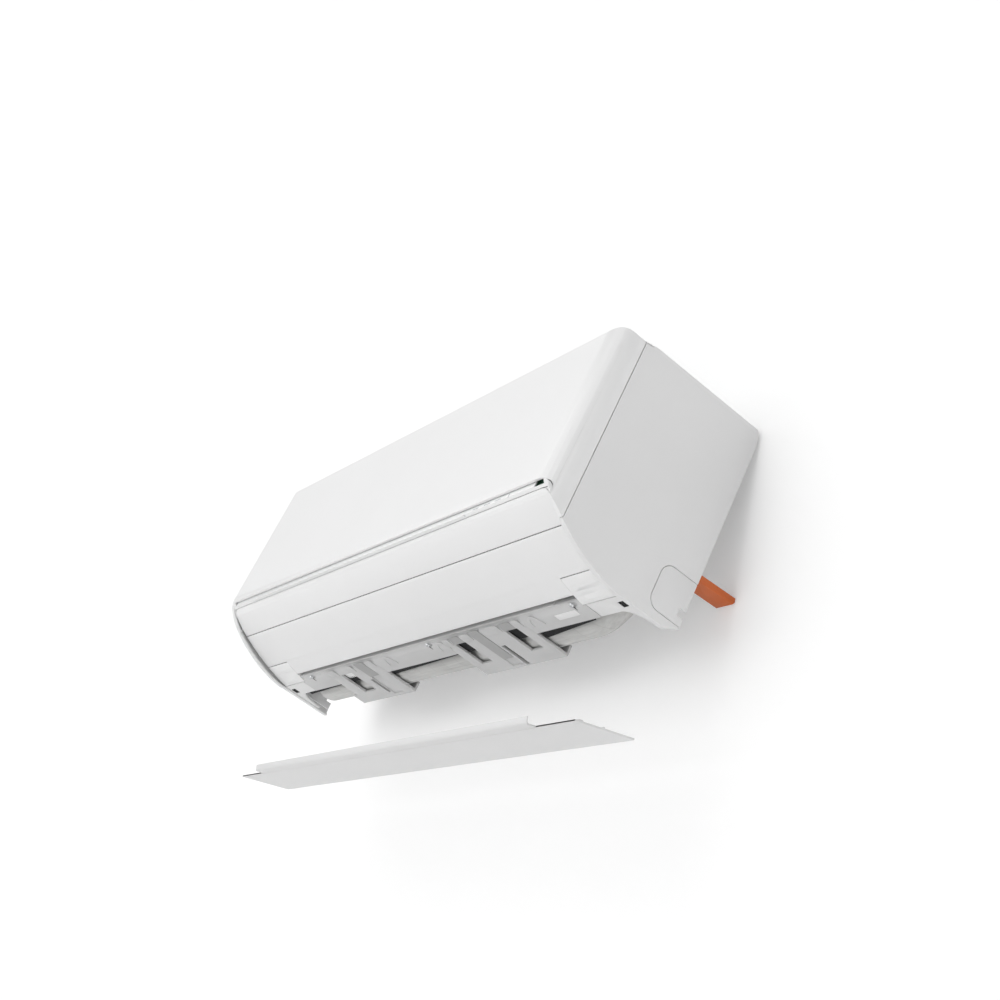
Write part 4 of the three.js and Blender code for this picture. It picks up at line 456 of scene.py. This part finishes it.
class Bench:
    """Modelling steps on Blender's own operators."""

    def __init__(self, frame: dict) -> None:
        """Keeps the frame's nodes and which body each rides on."""
        self.nodes = frame["nodes"]
        groups = frame["record"]["behaviour"]["bodies"]
        self.body_of = {node: body for body, members in groups.items() for node in members}
        self.unit = self._unit_matrix()

    @staticmethod
    def _unit_matrix() -> Matrix:
        """Place of the leaning unit's frame in the row frame."""
        hang = Matrix.Translation([c * MM for c in RAIL_IN_ROW])
        lean = Matrix.Rotation(math.radians(-LEAN), 4, "X")
        return hang @ lean @ Matrix.Translation([-c * MM for c in RAIL_IN_UNIT])

    @staticmethod
    def clear() -> None:
        """Deselects everything."""
        if bpy.context.mode != "OBJECT":
            bpy.ops.object.mode_set(mode="OBJECT")
        bpy.ops.object.select_all(action="DESELECT")

    def hold(self, piece: bpy.types.Object) -> None:
        """Selects one piece alone and makes it active."""
        self.clear()
        piece.select_set(True)
        bpy.context.view_layer.objects.active = piece

    def pick(self, test: Callable[[Vector, Vector], bool]) -> None:
        """Selects, in edit mode, the faces whose centre and normal pass the test."""
        bpy.ops.mesh.select_mode(type="FACE")
        bpy.ops.mesh.select_all(action="DESELECT")
        mesh = bmesh.from_edit_mesh(bpy.context.object.data)
        for face in mesh.faces:
            face.select = test(face.calc_center_median(), face.normal)
        mesh.select_flush_mode()
        bmesh.update_edit_mesh(bpy.context.object.data)

    def cube(self, name: str, low: Point, high: Point) -> bpy.types.Object:
        """Starts a piece from a cube with these corners, in millimetres, with its place in its mesh."""
        self.clear()
        centre = [(a + b) / 2 * MM for a, b in zip(low, high)]
        bpy.ops.mesh.primitive_cube_add(size=1, location=centre)
        piece = bpy.context.object
        piece.scale = [(b - a) * MM for a, b in zip(low, high)]
        bpy.ops.object.transform_apply(location=True, rotation=True, scale=True)
        piece.name = name
        return piece

    def slab(self, name: str, outline: Sequence[tuple[float, float]], low: float,
             high: float) -> bpy.types.Object:
        """Starts a piece from a flat outline, drawn from below and raised.

        Args:
            name: The piece's name.
            outline: Corners (x, y) in order, in millimetres.
            low: Height of the lower face.
            high: Height of the upper face.

        Returns:
            The piece.
        """
        self.clear()
        bpy.ops.mesh.primitive_circle_add(vertices=len(outline), radius=1, fill_type="NGON")
        piece = bpy.context.object
        piece.name = name
        bpy.ops.object.mode_set(mode="EDIT")
        mesh = bmesh.from_edit_mesh(piece.data)
        mesh.verts.ensure_lookup_table()
        for vertex, (x, y) in zip(mesh.verts, outline):
            vertex.co = Vector((x, y, low)) * MM
        bmesh.update_edit_mesh(piece.data)
        bpy.ops.mesh.select_all(action="SELECT")
        bpy.ops.mesh.extrude_region_move(TRANSFORM_OT_translate={"value": (0, 0, (high - low) * MM)})
        bpy.ops.mesh.select_all(action="SELECT")
        bpy.ops.mesh.normals_make_consistent(inside=False)
        bpy.ops.object.mode_set(mode="OBJECT")
        return piece

    def round_edges(self, piece: bpy.types.Object, width: float, steps: int = 2, limit: float = 40.0) -> None:
        """Rounds every edge sharper than the limit by a width in millimetres."""
        self.hold(piece)
        bevel = piece.modifiers.new("edge", "BEVEL")
        bevel.width = width * MM
        bevel.segments = steps
        bevel.limit_method = "ANGLE"
        bevel.angle_limit = math.radians(limit)
        bevel.use_clamp_overlap = True
        bpy.ops.object.modifier_apply(modifier=bevel.name)

    def smooth(self, piece: bpy.types.Object, angle: float = 32.0) -> None:
        """Shades curved stretches smooth and keeps real edges crisp."""
        self.hold(piece)
        bpy.ops.object.shade_smooth_by_angle(angle=math.radians(angle))

    def lean(self, piece: bpy.types.Object) -> None:
        """Moves a piece drawn in the unit frame to its place in the row frame."""
        piece.data.transform(self.unit)
        piece.data.update()

    def finish(self, piece: bpy.types.Object, body: str, finish: Palette,
               stands_for: Iterable[str] = ()) -> bpy.types.Object:
        """Dresses a piece and lets it ride.

        Args:
            piece: The finished mesh, in the row frame.
            body: Body that it rides on.
            finish: Its finish.
            stands_for: Frame nodes that it takes the place of.

        Returns:
            The piece.
        """
        piece.data.materials.clear()
        piece.data.materials.append(finish.value.material())
        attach(piece, body)
        names = list(stands_for)
        if names:
            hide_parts(*names)
        LOG.info("piece %s: %d faces", piece.name, len(piece.data.polygons))
        return piece

    def skin(self, node: str, finish: Palette, edge: float = 0.35, angle: float = 32.0,
             limit: float = 50.0) -> bpy.types.Object:
        """Fine version of a frame node: merged, edges eased, curved stretches shaded smooth.

        Args:
            node: The frame node.
            finish: Its finish.
            edge: Width of the eased edges, in millimetres.
            angle: Largest angle that is shaded smooth, in degrees.
            limit: Smallest angle that is eased, in degrees.

        Returns:
            The piece.
        """
        source = self.nodes[node]
        piece = bpy.data.objects.new(node + "_skin", source.data.copy())
        bpy.context.scene.collection.objects.link(piece)
        self.hold(piece)
        bpy.ops.object.mode_set(mode="EDIT")
        bpy.ops.mesh.select_all(action="SELECT")
        bpy.ops.mesh.remove_doubles(threshold=0.000004)
        bpy.ops.mesh.dissolve_limited(angle_limit=math.radians(0.6))
        bpy.ops.object.mode_set(mode="OBJECT")
        if edge > 0:
            self.round_edges(piece, edge, 2, limit)
        self.smooth(piece, angle)
        return self.finish(piece, self.body_of[node], finish, [node])

    def cut(self, piece: bpy.types.Object, low: Point, high: Point) -> None:
        """Cuts a box, drawn in the unit frame, out of a piece.

        Args:
            piece: The piece, in the row frame.
            low: Lower corner in millimetres.
            high: Upper corner in millimetres.
        """
        tool = self.cube("cutter", low, high)
        self.lean(tool)
        self.hold(piece)
        carve = piece.modifiers.new("carve", "BOOLEAN")
        carve.operation = "DIFFERENCE"
        carve.solver = "EXACT"
        carve.object = tool
        bpy.ops.object.modifier_apply(modifier=carve.name)
        self.hold(tool)
        bpy.ops.object.delete()


# ---- Sub-assemblies -----------------------------------------------------------------------------------


@dataclass
class Casing:
    """Front panel, cabinet and side caps."""

    bench: Bench
    edge: float = 0.6

    def build(self) -> None:
        """Builds the skins."""
        self.bench.skin("front_panel", Palette.PANEL, self.edge, 34)
        self.bench.skin("cabinet_shell", Palette.CASING, 0.4, 34)
        self.bench.skin("left_side_cap", Palette.CASING, 0.25)
        self.bench.skin("right_side_cap", Palette.CASING, 0.25)


@dataclass
class LowerFront:
    """Display strip with its indicator marks, both flaps and the corner blocks."""

    bench: Bench
    marks: tuple[tuple[float, float], ...] = ((270.5, 283.5), (295.5, 308.5), (318.5, 331.5))
    mark_face: float = 5.7
    mark_level: float = -212.4
    mark_height: float = 1.3
    lamp_x: float = 348.0

    def build(self) -> None:
        """Builds the skins and the marks."""
        self.bench.skin("display_strip", Palette.PANEL, 0.15)
        self.bench.skin("upper_flap", Palette.FLAP, 0.15)
        self.bench.skin("lower_flap", Palette.FLAP, 0.5)
        self.bench.skin("left_end_block", Palette.FLAP, 0.4)
        self.bench.skin("right_end_block", Palette.FLAP, 0.4)
        for index, (left, right) in enumerate(self.marks):
            self._mark(f"indicator_mark_{index + 1}", left, right, self.mark_height)
        self._mark("indicator_lamp", self.lamp_x - 0.8, self.lamp_x + 0.8, 5.0)

    def _mark(self, name: str, left: float, right: float, height: float) -> None:
        """One printed mark lying on the strip's upright face."""
        face, level = self.mark_face, self.mark_level
        low, high = level - height / 2, level + height / 2
        piece = self.bench.cube(name, (left, face - 0.06, low), (right, face + 0.04, high))
        self.bench.round_edges(piece, 0.05, 1)
        self.bench.lean(piece)
        self.bench.smooth(piece)
        self.bench.finish(piece, UNIT_BODY, Palette.PRINT)


@dataclass
class Underside:
    """Lip, brackets, screws, pads, the wrapped pipes and plates of painted shade."""

    bench: Bench
    screws: tuple[tuple[str, float], ...] = (
        ("left_lip_screw", -328.0), ("centre_lip_screw", 19.0), ("right_lip_screw", 345.0))
    screw_depth: float = 129.2
    screw_height: float = -272.2
    screw_radius: float = 3.1
    bundle_radius: float = 21.8
    bundle_depth: float = 183.7
    bundle_height: float = -247.2
    bundle_left: float = -390.0
    bundle_bend: float = 45.0
    bundle_riser: float = 347.0
    bundle_top: float = -162.7
    bend_steps: int = 32
    bundle_sides: int = 48
    bundle_shoulder: float = 7.0
    tape_pitch: float = 34.0
    # slots, gaps and channels outline the plates of painted shade under the lip.
    slots: tuple[tuple[float, float, float, float], ...] = (
        (-252, -219, 155, 163), (-199, -191.5, 163, 192), (70.6, 95.6, 141, 163), (188, 214.7, 141, 163),
        (148, 156.5, 163, 198))
    gaps: tuple[tuple[float, float, float, float], ...] = (
        (-137.5, 51.0, 168.0, 162.5), (236.0, 345.0, 172.0, 163.5), (-400.0, -294.0, 166.0, 163.0))
    ribs: tuple[tuple[float, float, float], ...] = (
        (-279, -254, 127), (-217, -201, 127), (-160, -141, 127), (54, 69, 128), (97, 118, 127),
        (146, 186, 126.5), (216, 232, 127))
    notches: tuple[tuple[float, float], ...] = (
        (-302, 17), (-233, 5), (-164, 5), (51, 5), (83, 7), (138, 5), (196, 6), (263, 5))
    clips: tuple[float, ...] = (-100.0, 44.0, 258.0)
    clip_outer: tuple[float, float] = (13.0, 17.0)
    clip_inner: tuple[float, float] = (9.5, 12.5)
    clip_foot: float = 146.0
    clip_steps: int = 12
    pocket_across: tuple[float, float] = (413.1, 425.4)
    pocket_along: tuple[float, float] = (143.1, 152.9)
    shade_heights: tuple[float, float] = (-268.9, -268.0)
    channels: tuple[tuple[float, float, float, float], ...] = (
        (121, 143.2, 126.5, 186), (-189.6, -163.9, 127, 158), (188.4, 214.3, 127.5, 141),
        (71, 95.2, 127.5, 141))

    def build(self) -> None:
        """Builds everything under the unit."""
        lip = self.bench.skin("outlet_lip", Palette.BASE, 0.35)
        for x, width in self.notches:
            self.bench.cut(lip, (x, 120, -275), (x + width, 128.4, -271.0))
        for name in ("left_pipe_bracket", "centre_pipe_bracket", "right_pipe_bracket"):
            self.bench.skin(name, Palette.BASE, 0.4)
        for name, x in self.screws:
            self._screw(name, x)
        self._bundle()
        self.bench.skin("drain_hose", Palette.FOAM, 0.0, 50)
        self.bench.skin("gas_pipe", Palette.COPPER, 0.0, 50)
        self.bench.skin("liquid_pipe", Palette.COPPER, 0.0, 50)
        self._pads()
        self._shades()
        self._arms()
        self._clips()
        for side in (-1, 1):
            self._pocket(side)

    def _screw(self, node: str, x: float) -> None:
        """Domed screw head with a slot across it."""
        bench = self.bench
        bench.clear()
        bpy.ops.mesh.primitive_uv_sphere_add(segments=28, ring_count=14, radius=self.screw_radius * MM)
        piece = bpy.context.object
        piece.name = node + "_head"
        bpy.ops.object.mode_set(mode="EDIT")
        for offset, sign in ((0.35, 1), (-0.35, -1)):
            bpy.ops.mesh.select_all(action="SELECT")
            bpy.ops.mesh.bisect(plane_co=(0, offset * MM, 0), plane_no=(0, sign, 0))
        bench.pick(lambda c, n: abs(c.y) < 0.34 * MM and c.z < -1.2 * MM)
        bpy.ops.mesh.extrude_region_move(TRANSFORM_OT_translate={"value": (0, 0, 0.9 * MM)})
        bpy.ops.object.mode_set(mode="OBJECT")
        flat = Matrix.Diagonal((1, 1, 0.7, 1))
        turn = Matrix.Rotation(math.radians(52), 4, "Z")
        place = Matrix.Translation((x * MM, self.screw_depth * MM, self.screw_height * MM))
        piece.data.transform(place @ turn @ flat)
        bench.lean(piece)
        bench.smooth(piece, 40)
        bench.finish(piece, UNIT_BODY, Palette.STEEL, [node])

    def _route(self) -> list[Vector]:
        """Middle line of the wrapped pipes: along the channel, then up at the right end."""
        corner = self.bundle_riser - self.bundle_bend
        points = [Vector((x, self.bundle_depth, self.bundle_height))
                  for x in self._steps(self.bundle_left, corner, 3.0)]
        for step in range(1, self.bend_steps + 1):
            angle = math.pi / 2 * step / self.bend_steps
            points.append(Vector((corner + self.bundle_bend * math.sin(angle), self.bundle_depth,
                                  self.bundle_height + self.bundle_bend * (1 - math.cos(angle)))))
        rise = self.bundle_height + self.bundle_bend
        points += [Vector((self.bundle_riser, self.bundle_depth, z))
                   for z in self._steps(rise, self.bundle_top, 3.0)[1:]]
        return points

    @staticmethod
    def _steps(start: float, end: float, pitch: float) -> list[float]:
        """Evenly spaced values from start to end, about a pitch apart."""
        count = max(1, round(abs(end - start) / pitch))
        return [start + (end - start) * i / count for i in range(count + 1)]

    def _bundle(self) -> None:
        """Foam-wrapped pipes: a fine tube whose tape laps stand up a little at each turn."""
        bench = self.bench
        bench.clear()
        route = self._route()
        bpy.ops.mesh.primitive_circle_add(vertices=self.bundle_sides, radius=self.bundle_radius * MM,
                                         fill_type="NGON")
        piece = bpy.context.object
        piece.name = "pipe_bundle_wrap"
        mesh = bmesh.new()
        travelled = 0.0
        rings = []
        for index, point in enumerate(route):
            before = route[max(index - 1, 0)]
            after = route[min(index + 1, len(route) - 1)]
            travelled += (point - before).length
            run = (after - before).normalized()
            across = Vector((0, 1, 0))
            up = run.cross(across).normalized()
            left = travelled
            right = (route[-1] - point).length if index > len(route) - 8 else 99.0
            start, end = (min(way, self.bundle_shoulder) / self.bundle_shoulder for way in (left, right))
            ease = min(1.0, math.sqrt(max(0.0, 1 - (1 - start) ** 2)) * 0.28 + 0.72)
            ease *= min(1.0, 0.72 + 0.28 * math.sqrt(end))
            ring = []
            for side in range(self.bundle_sides):
                angle = 2 * math.pi * side / self.bundle_sides
                phase = (travelled / self.tape_pitch + angle / (2 * math.pi)) % 1.0
                slump = 0.35 * math.sin(travelled / 29 + 2 * angle) + 0.25 * math.sin(travelled / 11 - angle)
                lobes = 1.5 * abs(math.cos(1.5 * angle + 0.5)) - 1.2
                radius = (self.bundle_radius - 0.9) * ease + 0.1 * phase + 0.3 * slump + lobes
                offset = across * math.cos(angle) + up * math.sin(angle)
                ring.append(mesh.verts.new((point + offset * radius) * MM))
            rings.append(ring)
        for first, second in zip(rings, rings[1:]):
            for side in range(self.bundle_sides):
                other = (side + 1) % self.bundle_sides
                mesh.faces.new((first[side], first[other], second[other], second[side]))
        mesh.faces.new(rings[0][::-1])
        mesh.faces.new(rings[-1])
        bmesh.ops.recalc_face_normals(mesh, faces=mesh.faces)
        mesh.to_mesh(piece.data)
        mesh.free()
        bench.lean(piece)
        bench.smooth(piece, 50)
        bench.finish(piece, UNIT_BODY, Palette.FOAM, ["pipe_bundle"])

    def _pads(self) -> None:
        """Small foam pads beside the pipes and on the lip."""
        for name, low, high in (
            ("foam_pad_left", (-251, 141.5, -268.9), (-220, 154.5, -266.4)),
            ("foam_pad_right", (300, 137, -273.3), (341, 146, -272.6)),
        ):
            piece = self.bench.cube(name, low, high)
            self.bench.round_edges(piece, 0.3, 2)
            self.bench.lean(piece)
            self.bench.smooth(piece)
            self.bench.finish(piece, UNIT_BODY, Palette.PAD)

    def _plate(self, name: str, outline: Sequence[tuple[float, float]], low: float, high: float,
               finish: Palette, edge: float = 0.0) -> None:
        """One flat piece under the unit."""
        piece = self.bench.slab(name, outline, low, high)
        if edge > 0:
            self.bench.round_edges(piece, edge, 3, 50)
        self.bench.lean(piece)
        self.bench.smooth(piece, 40)
        self.bench.finish(piece, UNIT_BODY, finish)

    def _shades(self) -> None:
        """Painted shade: dark plates in the bracket slots, by the screw heads and at the lip's rear edge, and
        grey channel floors.
        """
        for index, (left, right, front, rear) in enumerate(self.slots):
            outline = ((left - 2, front - 3), (right + 2, front - 3), (right + 2, rear), (left - 2, rear))
            self._plate(f"slot_painted_shade_{index + 1}", outline, *self.shade_heights, Palette.POCKET)
        for index, (_, x) in enumerate(self.screws):
            # Painted shadow: a dark tail behind each screw head.
            outline = ((x - 0.9, 132.0), (x + 0.9, 132.0), (x + 0.5, 138.5), (x - 0.5, 138.5))
            self._plate(f"screw_painted_shadow_{index + 1}", outline, -272.8, -272.5, Palette.POCKET)
        for index, (left, right, wide, thin) in enumerate(self.gaps):
            outline = ((left, 154), (right, 154), (right, thin), (left, wide))
            self._plate(f"gap_painted_shade_{index + 1}", outline, *self.shade_heights, Palette.POCKET)
        # Channel floors in a darker grey: painted shade in the channels between the ribs.
        for index, (left, right, front, rear) in enumerate(self.channels):
            outline = ((left, front), (right, front), (right, rear), (left, rear))
            self._plate(f"channel_painted_shade_{index + 1}", outline, -272.8, -272.4, Palette.RECESS)

    def _arms(self) -> None:
        """Raised ribs that run up each bracket and over the lip, with rounded noses."""
        for index, (left, right, nose) in enumerate(self.ribs):
            middle, half = (left + right) / 2, (right - left) / 2
            arc = [(middle + half * math.cos(a), nose + 3.5 - 3.5 * math.sin(a))
                   for a in (math.pi * k / 10 for k in range(11))]
            outline = [(left, 141.0), (right, 141.0), *arc]
            self._plate(f"lip_rib_{index + 1}", outline, -273.5, -272.4, Palette.BASE, 0.45)

    def _clips(self) -> None:
        """Crescent-shaped spring clips pressed out of the lip's face."""
        for index, x in enumerate(self.clips):
            outline = [*self._arch(x, *self.clip_outer), *reversed(self._arch(x, *self.clip_inner))]
            self._plate(f"lip_clip_{index + 1}", outline, -273.4, -272.4, Palette.BASE, 0.3)

    def _arch(self, x: float, half: float, rise: float) -> list[tuple[float, float]]:
        """Half an ellipse that stands on the clip's foot, from its right end to its left one."""
        angles = (math.pi * step / self.clip_steps for step in range(self.clip_steps + 1))
        return [(x + half * math.cos(a), self.clip_foot - rise * math.sin(a)) for a in angles]

    def _pocket(self, side: int) -> None:
        """Dark plate over the slot that takes the cover's post: painted shade in the slot."""
        near, far = sorted(side * x for x in self.pocket_across)
        front, rear = self.pocket_along
        outline = ((near, front), (far, front), (far, rear), (near, rear))
        name = "post_pocket_" + ("left" if side < 0 else "right")
        self._plate(name, outline, -271.9, -270.0, Palette.POCKET)


@dataclass
class Inside:
    """Chassis, coil, fan, drives and electrics."""

    bench: Bench
    vanes: int = 8

    def build(self) -> None:
        """Builds the skins of the inner pieces."""
        bench = self.bench
        bench.skin("chassis_frame", Palette.CHASSIS, 0.0, 25)
        bench.skin("front_frame", Palette.CHASSIS, 0.4)
        bench.skin("drain_pan", Palette.INNER, 0.0)
        for node in ("front_coil", "upper_coil", "rear_coil"):
            bench.skin(node, Palette.FIN, 0.3)
        for node in ("left_coil_plate", "right_coil_plate"):
            bench.skin(node, Palette.ZINC, 0.0, 45)
        bench.skin("fan_rotor", Palette.BLACK, 0.0, 25)
        bench.skin("fan_shaft", Palette.STEEL, 0.4, 30)
        bench.skin("fan_bearing", Palette.BLACK, 0.4, 25)
        bench.skin("fan_motor", Palette.ZINC, 0.8, 25)
        bench.skin("motor_clamp", Palette.INNER, 0.3, 25)
        bench.skin("intake_grille", Palette.CASING, 0.3)
        for node in ("left_filter", "right_filter"):
            bench.skin(node, Palette.NET, 0.25)
        for index in range(self.vanes):
            bench.skin(f"vane_{index + 1}", Palette.INNER, 0.2, 30)
        for node in ("left_vane_link", "right_vane_link"):
            bench.skin(node, Palette.INNER, 0.3)
        for node in ("left_vane_motor", "right_vane_motor", "lower_flap_motor"):
            bench.skin(node, Palette.STEEL, 0.4, 30)
        for node in ("control_box", "control_cover"):
            bench.skin(node, Palette.ZINC, 0.3)
        for node in ("control_board", "display_board"):
            bench.skin(node, Palette.BOARD, 0.2)
        bench.skin("terminal_block", Palette.INNER, 0.4)
        bench.skin("service_button", Palette.INNER, 0.3, 30)


@dataclass
class Mounting:
    """Wall plate, folding stand with its bracket, and the bottom cover."""

    bench: Bench

    def build(self) -> None:
        """Builds the skins."""
        self.bench.skin("mounting_plate", Palette.ZINC, 0.3, 30)
        self.bench.skin("stand_bracket", Palette.BASE, 0.4, 30)
        self.bench.skin("support_stand", Palette.ORANGE, 0.5, 30)
        self.bench.skin("bottom_cover", Palette.COVER, 0.4, 30)


# ---- Studio --------------------------------------------------------------------------------------------


@dataclass
class Studio:
    """White wall, pale floor, soft lamps and the camera."""

    bench: Bench
    focal: float = 1613.365
    image: float = 1000.0
    sensor: float = 36.0
    eye: Point = (1777.79, -563.72, -991.66)
    turn: Point = (0.761176298, 0.834749869, -0.651598276)
    floor_height: float = -1.9
    sky: float = 0.434
    gloss: float = 0.6
    wall_glow: float = 0.21
    floor_white: float = 0.9
    wall_white: float = 0.94
    glow_strength: float = 1.5

    def build(self) -> None:
        """Builds the set."""
        self._camera()
        self._backdrop()
        self._world()
        self._lamp("key_lamp", (-1.0, -2.4, 1.1), 70.0, 1.35)
        self._lamp("fill_lamp", (0.5, -2.6, -1.5), 100.0, 0.98)
        bpy.context.scene.view_settings.view_transform = "Standard"

    def _camera(self) -> None:
        """Camera at the picture's place, from the fit in the unit frame."""
        axis = Vector(self.turn)
        look = Matrix.Rotation(axis.length, 3, axis.normalized())
        rows = Matrix((look[0], -look[1], -look[2])).transposed()
        pose = self.bench.unit @ (Matrix.Translation(Vector(self.eye) * MM) @ rows.to_4x4())
        data = bpy.data.cameras.new("camera")
        data.sensor_width = self.sensor
        data.lens = self.focal / self.image * self.sensor
        data.clip_end = 60.0
        camera = bpy.data.objects.new("camera", data)
        bpy.context.scene.collection.objects.link(camera)
        camera.matrix_world = pose
        bpy.context.scene.camera = camera

    def _backdrop(self) -> None:
        """Wall behind the unit and floor below it."""
        self._sheet("wall", (0, 0.0015, 4.0), (24, 12), math.pi / 2, True)
        self._sheet("floor", (0, -4.0, self.floor_height), (24, 16), 0.0, False)

    def _sheet(self, name: str, place: Point, size: tuple[float, float], tip: float, one_sided: bool) -> None:
        """A large flat sheet of the set; the floor casts no shadow, so the lamp below it reaches the unit."""
        self.bench.clear()
        bpy.ops.mesh.primitive_plane_add(size=1, location=place, rotation=(tip, 0, 0))
        sheet = bpy.context.object
        sheet.name = name
        sheet.scale = (size[0], size[1], 1)
        bpy.ops.object.transform_apply(location=True, rotation=True, scale=True)
        sheet.data.materials.append(self._paper(name, one_sided))
        sheet.visible_shadow = one_sided

    def _paper(self, name: str, one_sided: bool) -> bpy.types.Material:
        """White paint; a one-sided sheet can't be seen from behind."""
        graph = Graph(name + "_paint")
        grain = graph.noise(300.0, 2.0)
        white = self.wall_white if one_sided else self.floor_white
        graph.set(Base_Color=(white, white, white), Roughness=grain * 0.1 + 0.8, Specular_IOR_Level=0.1)
        tree = graph.tree
        output = next(n for n in tree.nodes if n.type == "OUTPUT_MATERIAL")
        surface = graph.surface.outputs["BSDF"]
        glow = tree.nodes.new("ShaderNodeEmission")
        mix = tree.nodes.new("ShaderNodeMixShader")
        seen = graph.node("ShaderNodeLightPath", output="Is Camera Ray")
        graph.feed(mix.inputs[0], seen * self.wall_glow)
        tree.links.new(surface, mix.inputs[1])
        tree.links.new(glow.outputs[0], mix.inputs[2])
        glow.inputs["Strength"].default_value = self.glow_strength
        last = mix.outputs[0]
        if one_sided:
            clear = tree.nodes.new("ShaderNodeBsdfTransparent")
            choose = tree.nodes.new("ShaderNodeMixShader")
            back = graph.node("ShaderNodeNewGeometry", output="Backfacing")
            graph.feed(choose.inputs[0], back)
            tree.links.new(last, choose.inputs[1])
            tree.links.new(clear.outputs[0], choose.inputs[2])
            last = choose.outputs[0]
        tree.links.new(last, output.inputs["Surface"])
        return graph.material

    def _world(self) -> None:
        """Even white surroundings, brighter where gloss shows them."""
        world = bpy.data.worlds.new("surroundings")
        world.use_nodes = True
        tree = world.node_tree
        background = tree.nodes["Background"]
        background.inputs["Color"].default_value = (1, 1, 1, 1)
        ray = tree.nodes.new("ShaderNodeLightPath")
        level = tree.nodes.new("ShaderNodeMapRange")
        level.inputs["To Min"].default_value = self.sky
        level.inputs["To Max"].default_value = self.gloss
        tree.links.new(ray.outputs["Is Glossy Ray"], level.inputs["Value"])
        tree.links.new(level.outputs["Result"], background.inputs["Strength"])
        bpy.context.scene.world = world

    @staticmethod
    def _lamp(name: str, place: Point, spread: float, power: float) -> None:
        """A wide soft lamp that lights evenly from one side, spread in degrees."""
        data = bpy.data.lights.new(name, "SUN")
        data.angle = math.radians(spread)
        data.energy = power
        lamp = bpy.data.objects.new(name, data)
        bpy.context.scene.collection.objects.link(lamp)
        lamp.location = place
        aim = Vector((0, -0.15, 0)) - Vector(place)
        lamp.rotation_euler = aim.to_track_quat("-Z", "Y").to_euler()


def main() -> None:
    """Builds the looks in order."""
    logging.basicConfig(level=logging.INFO, format="%(message)s")
    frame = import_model()
    bench = Bench(frame)
    for assembly in (Casing(bench), LowerFront(bench), Underside(bench), Inside(bench), Mounting(bench)):
        LOG.info("building %s", type(assembly).__name__)
        assembly.build()
    Studio(bench).build()
    bench.clear()


if __name__ == "__main__":
    main()
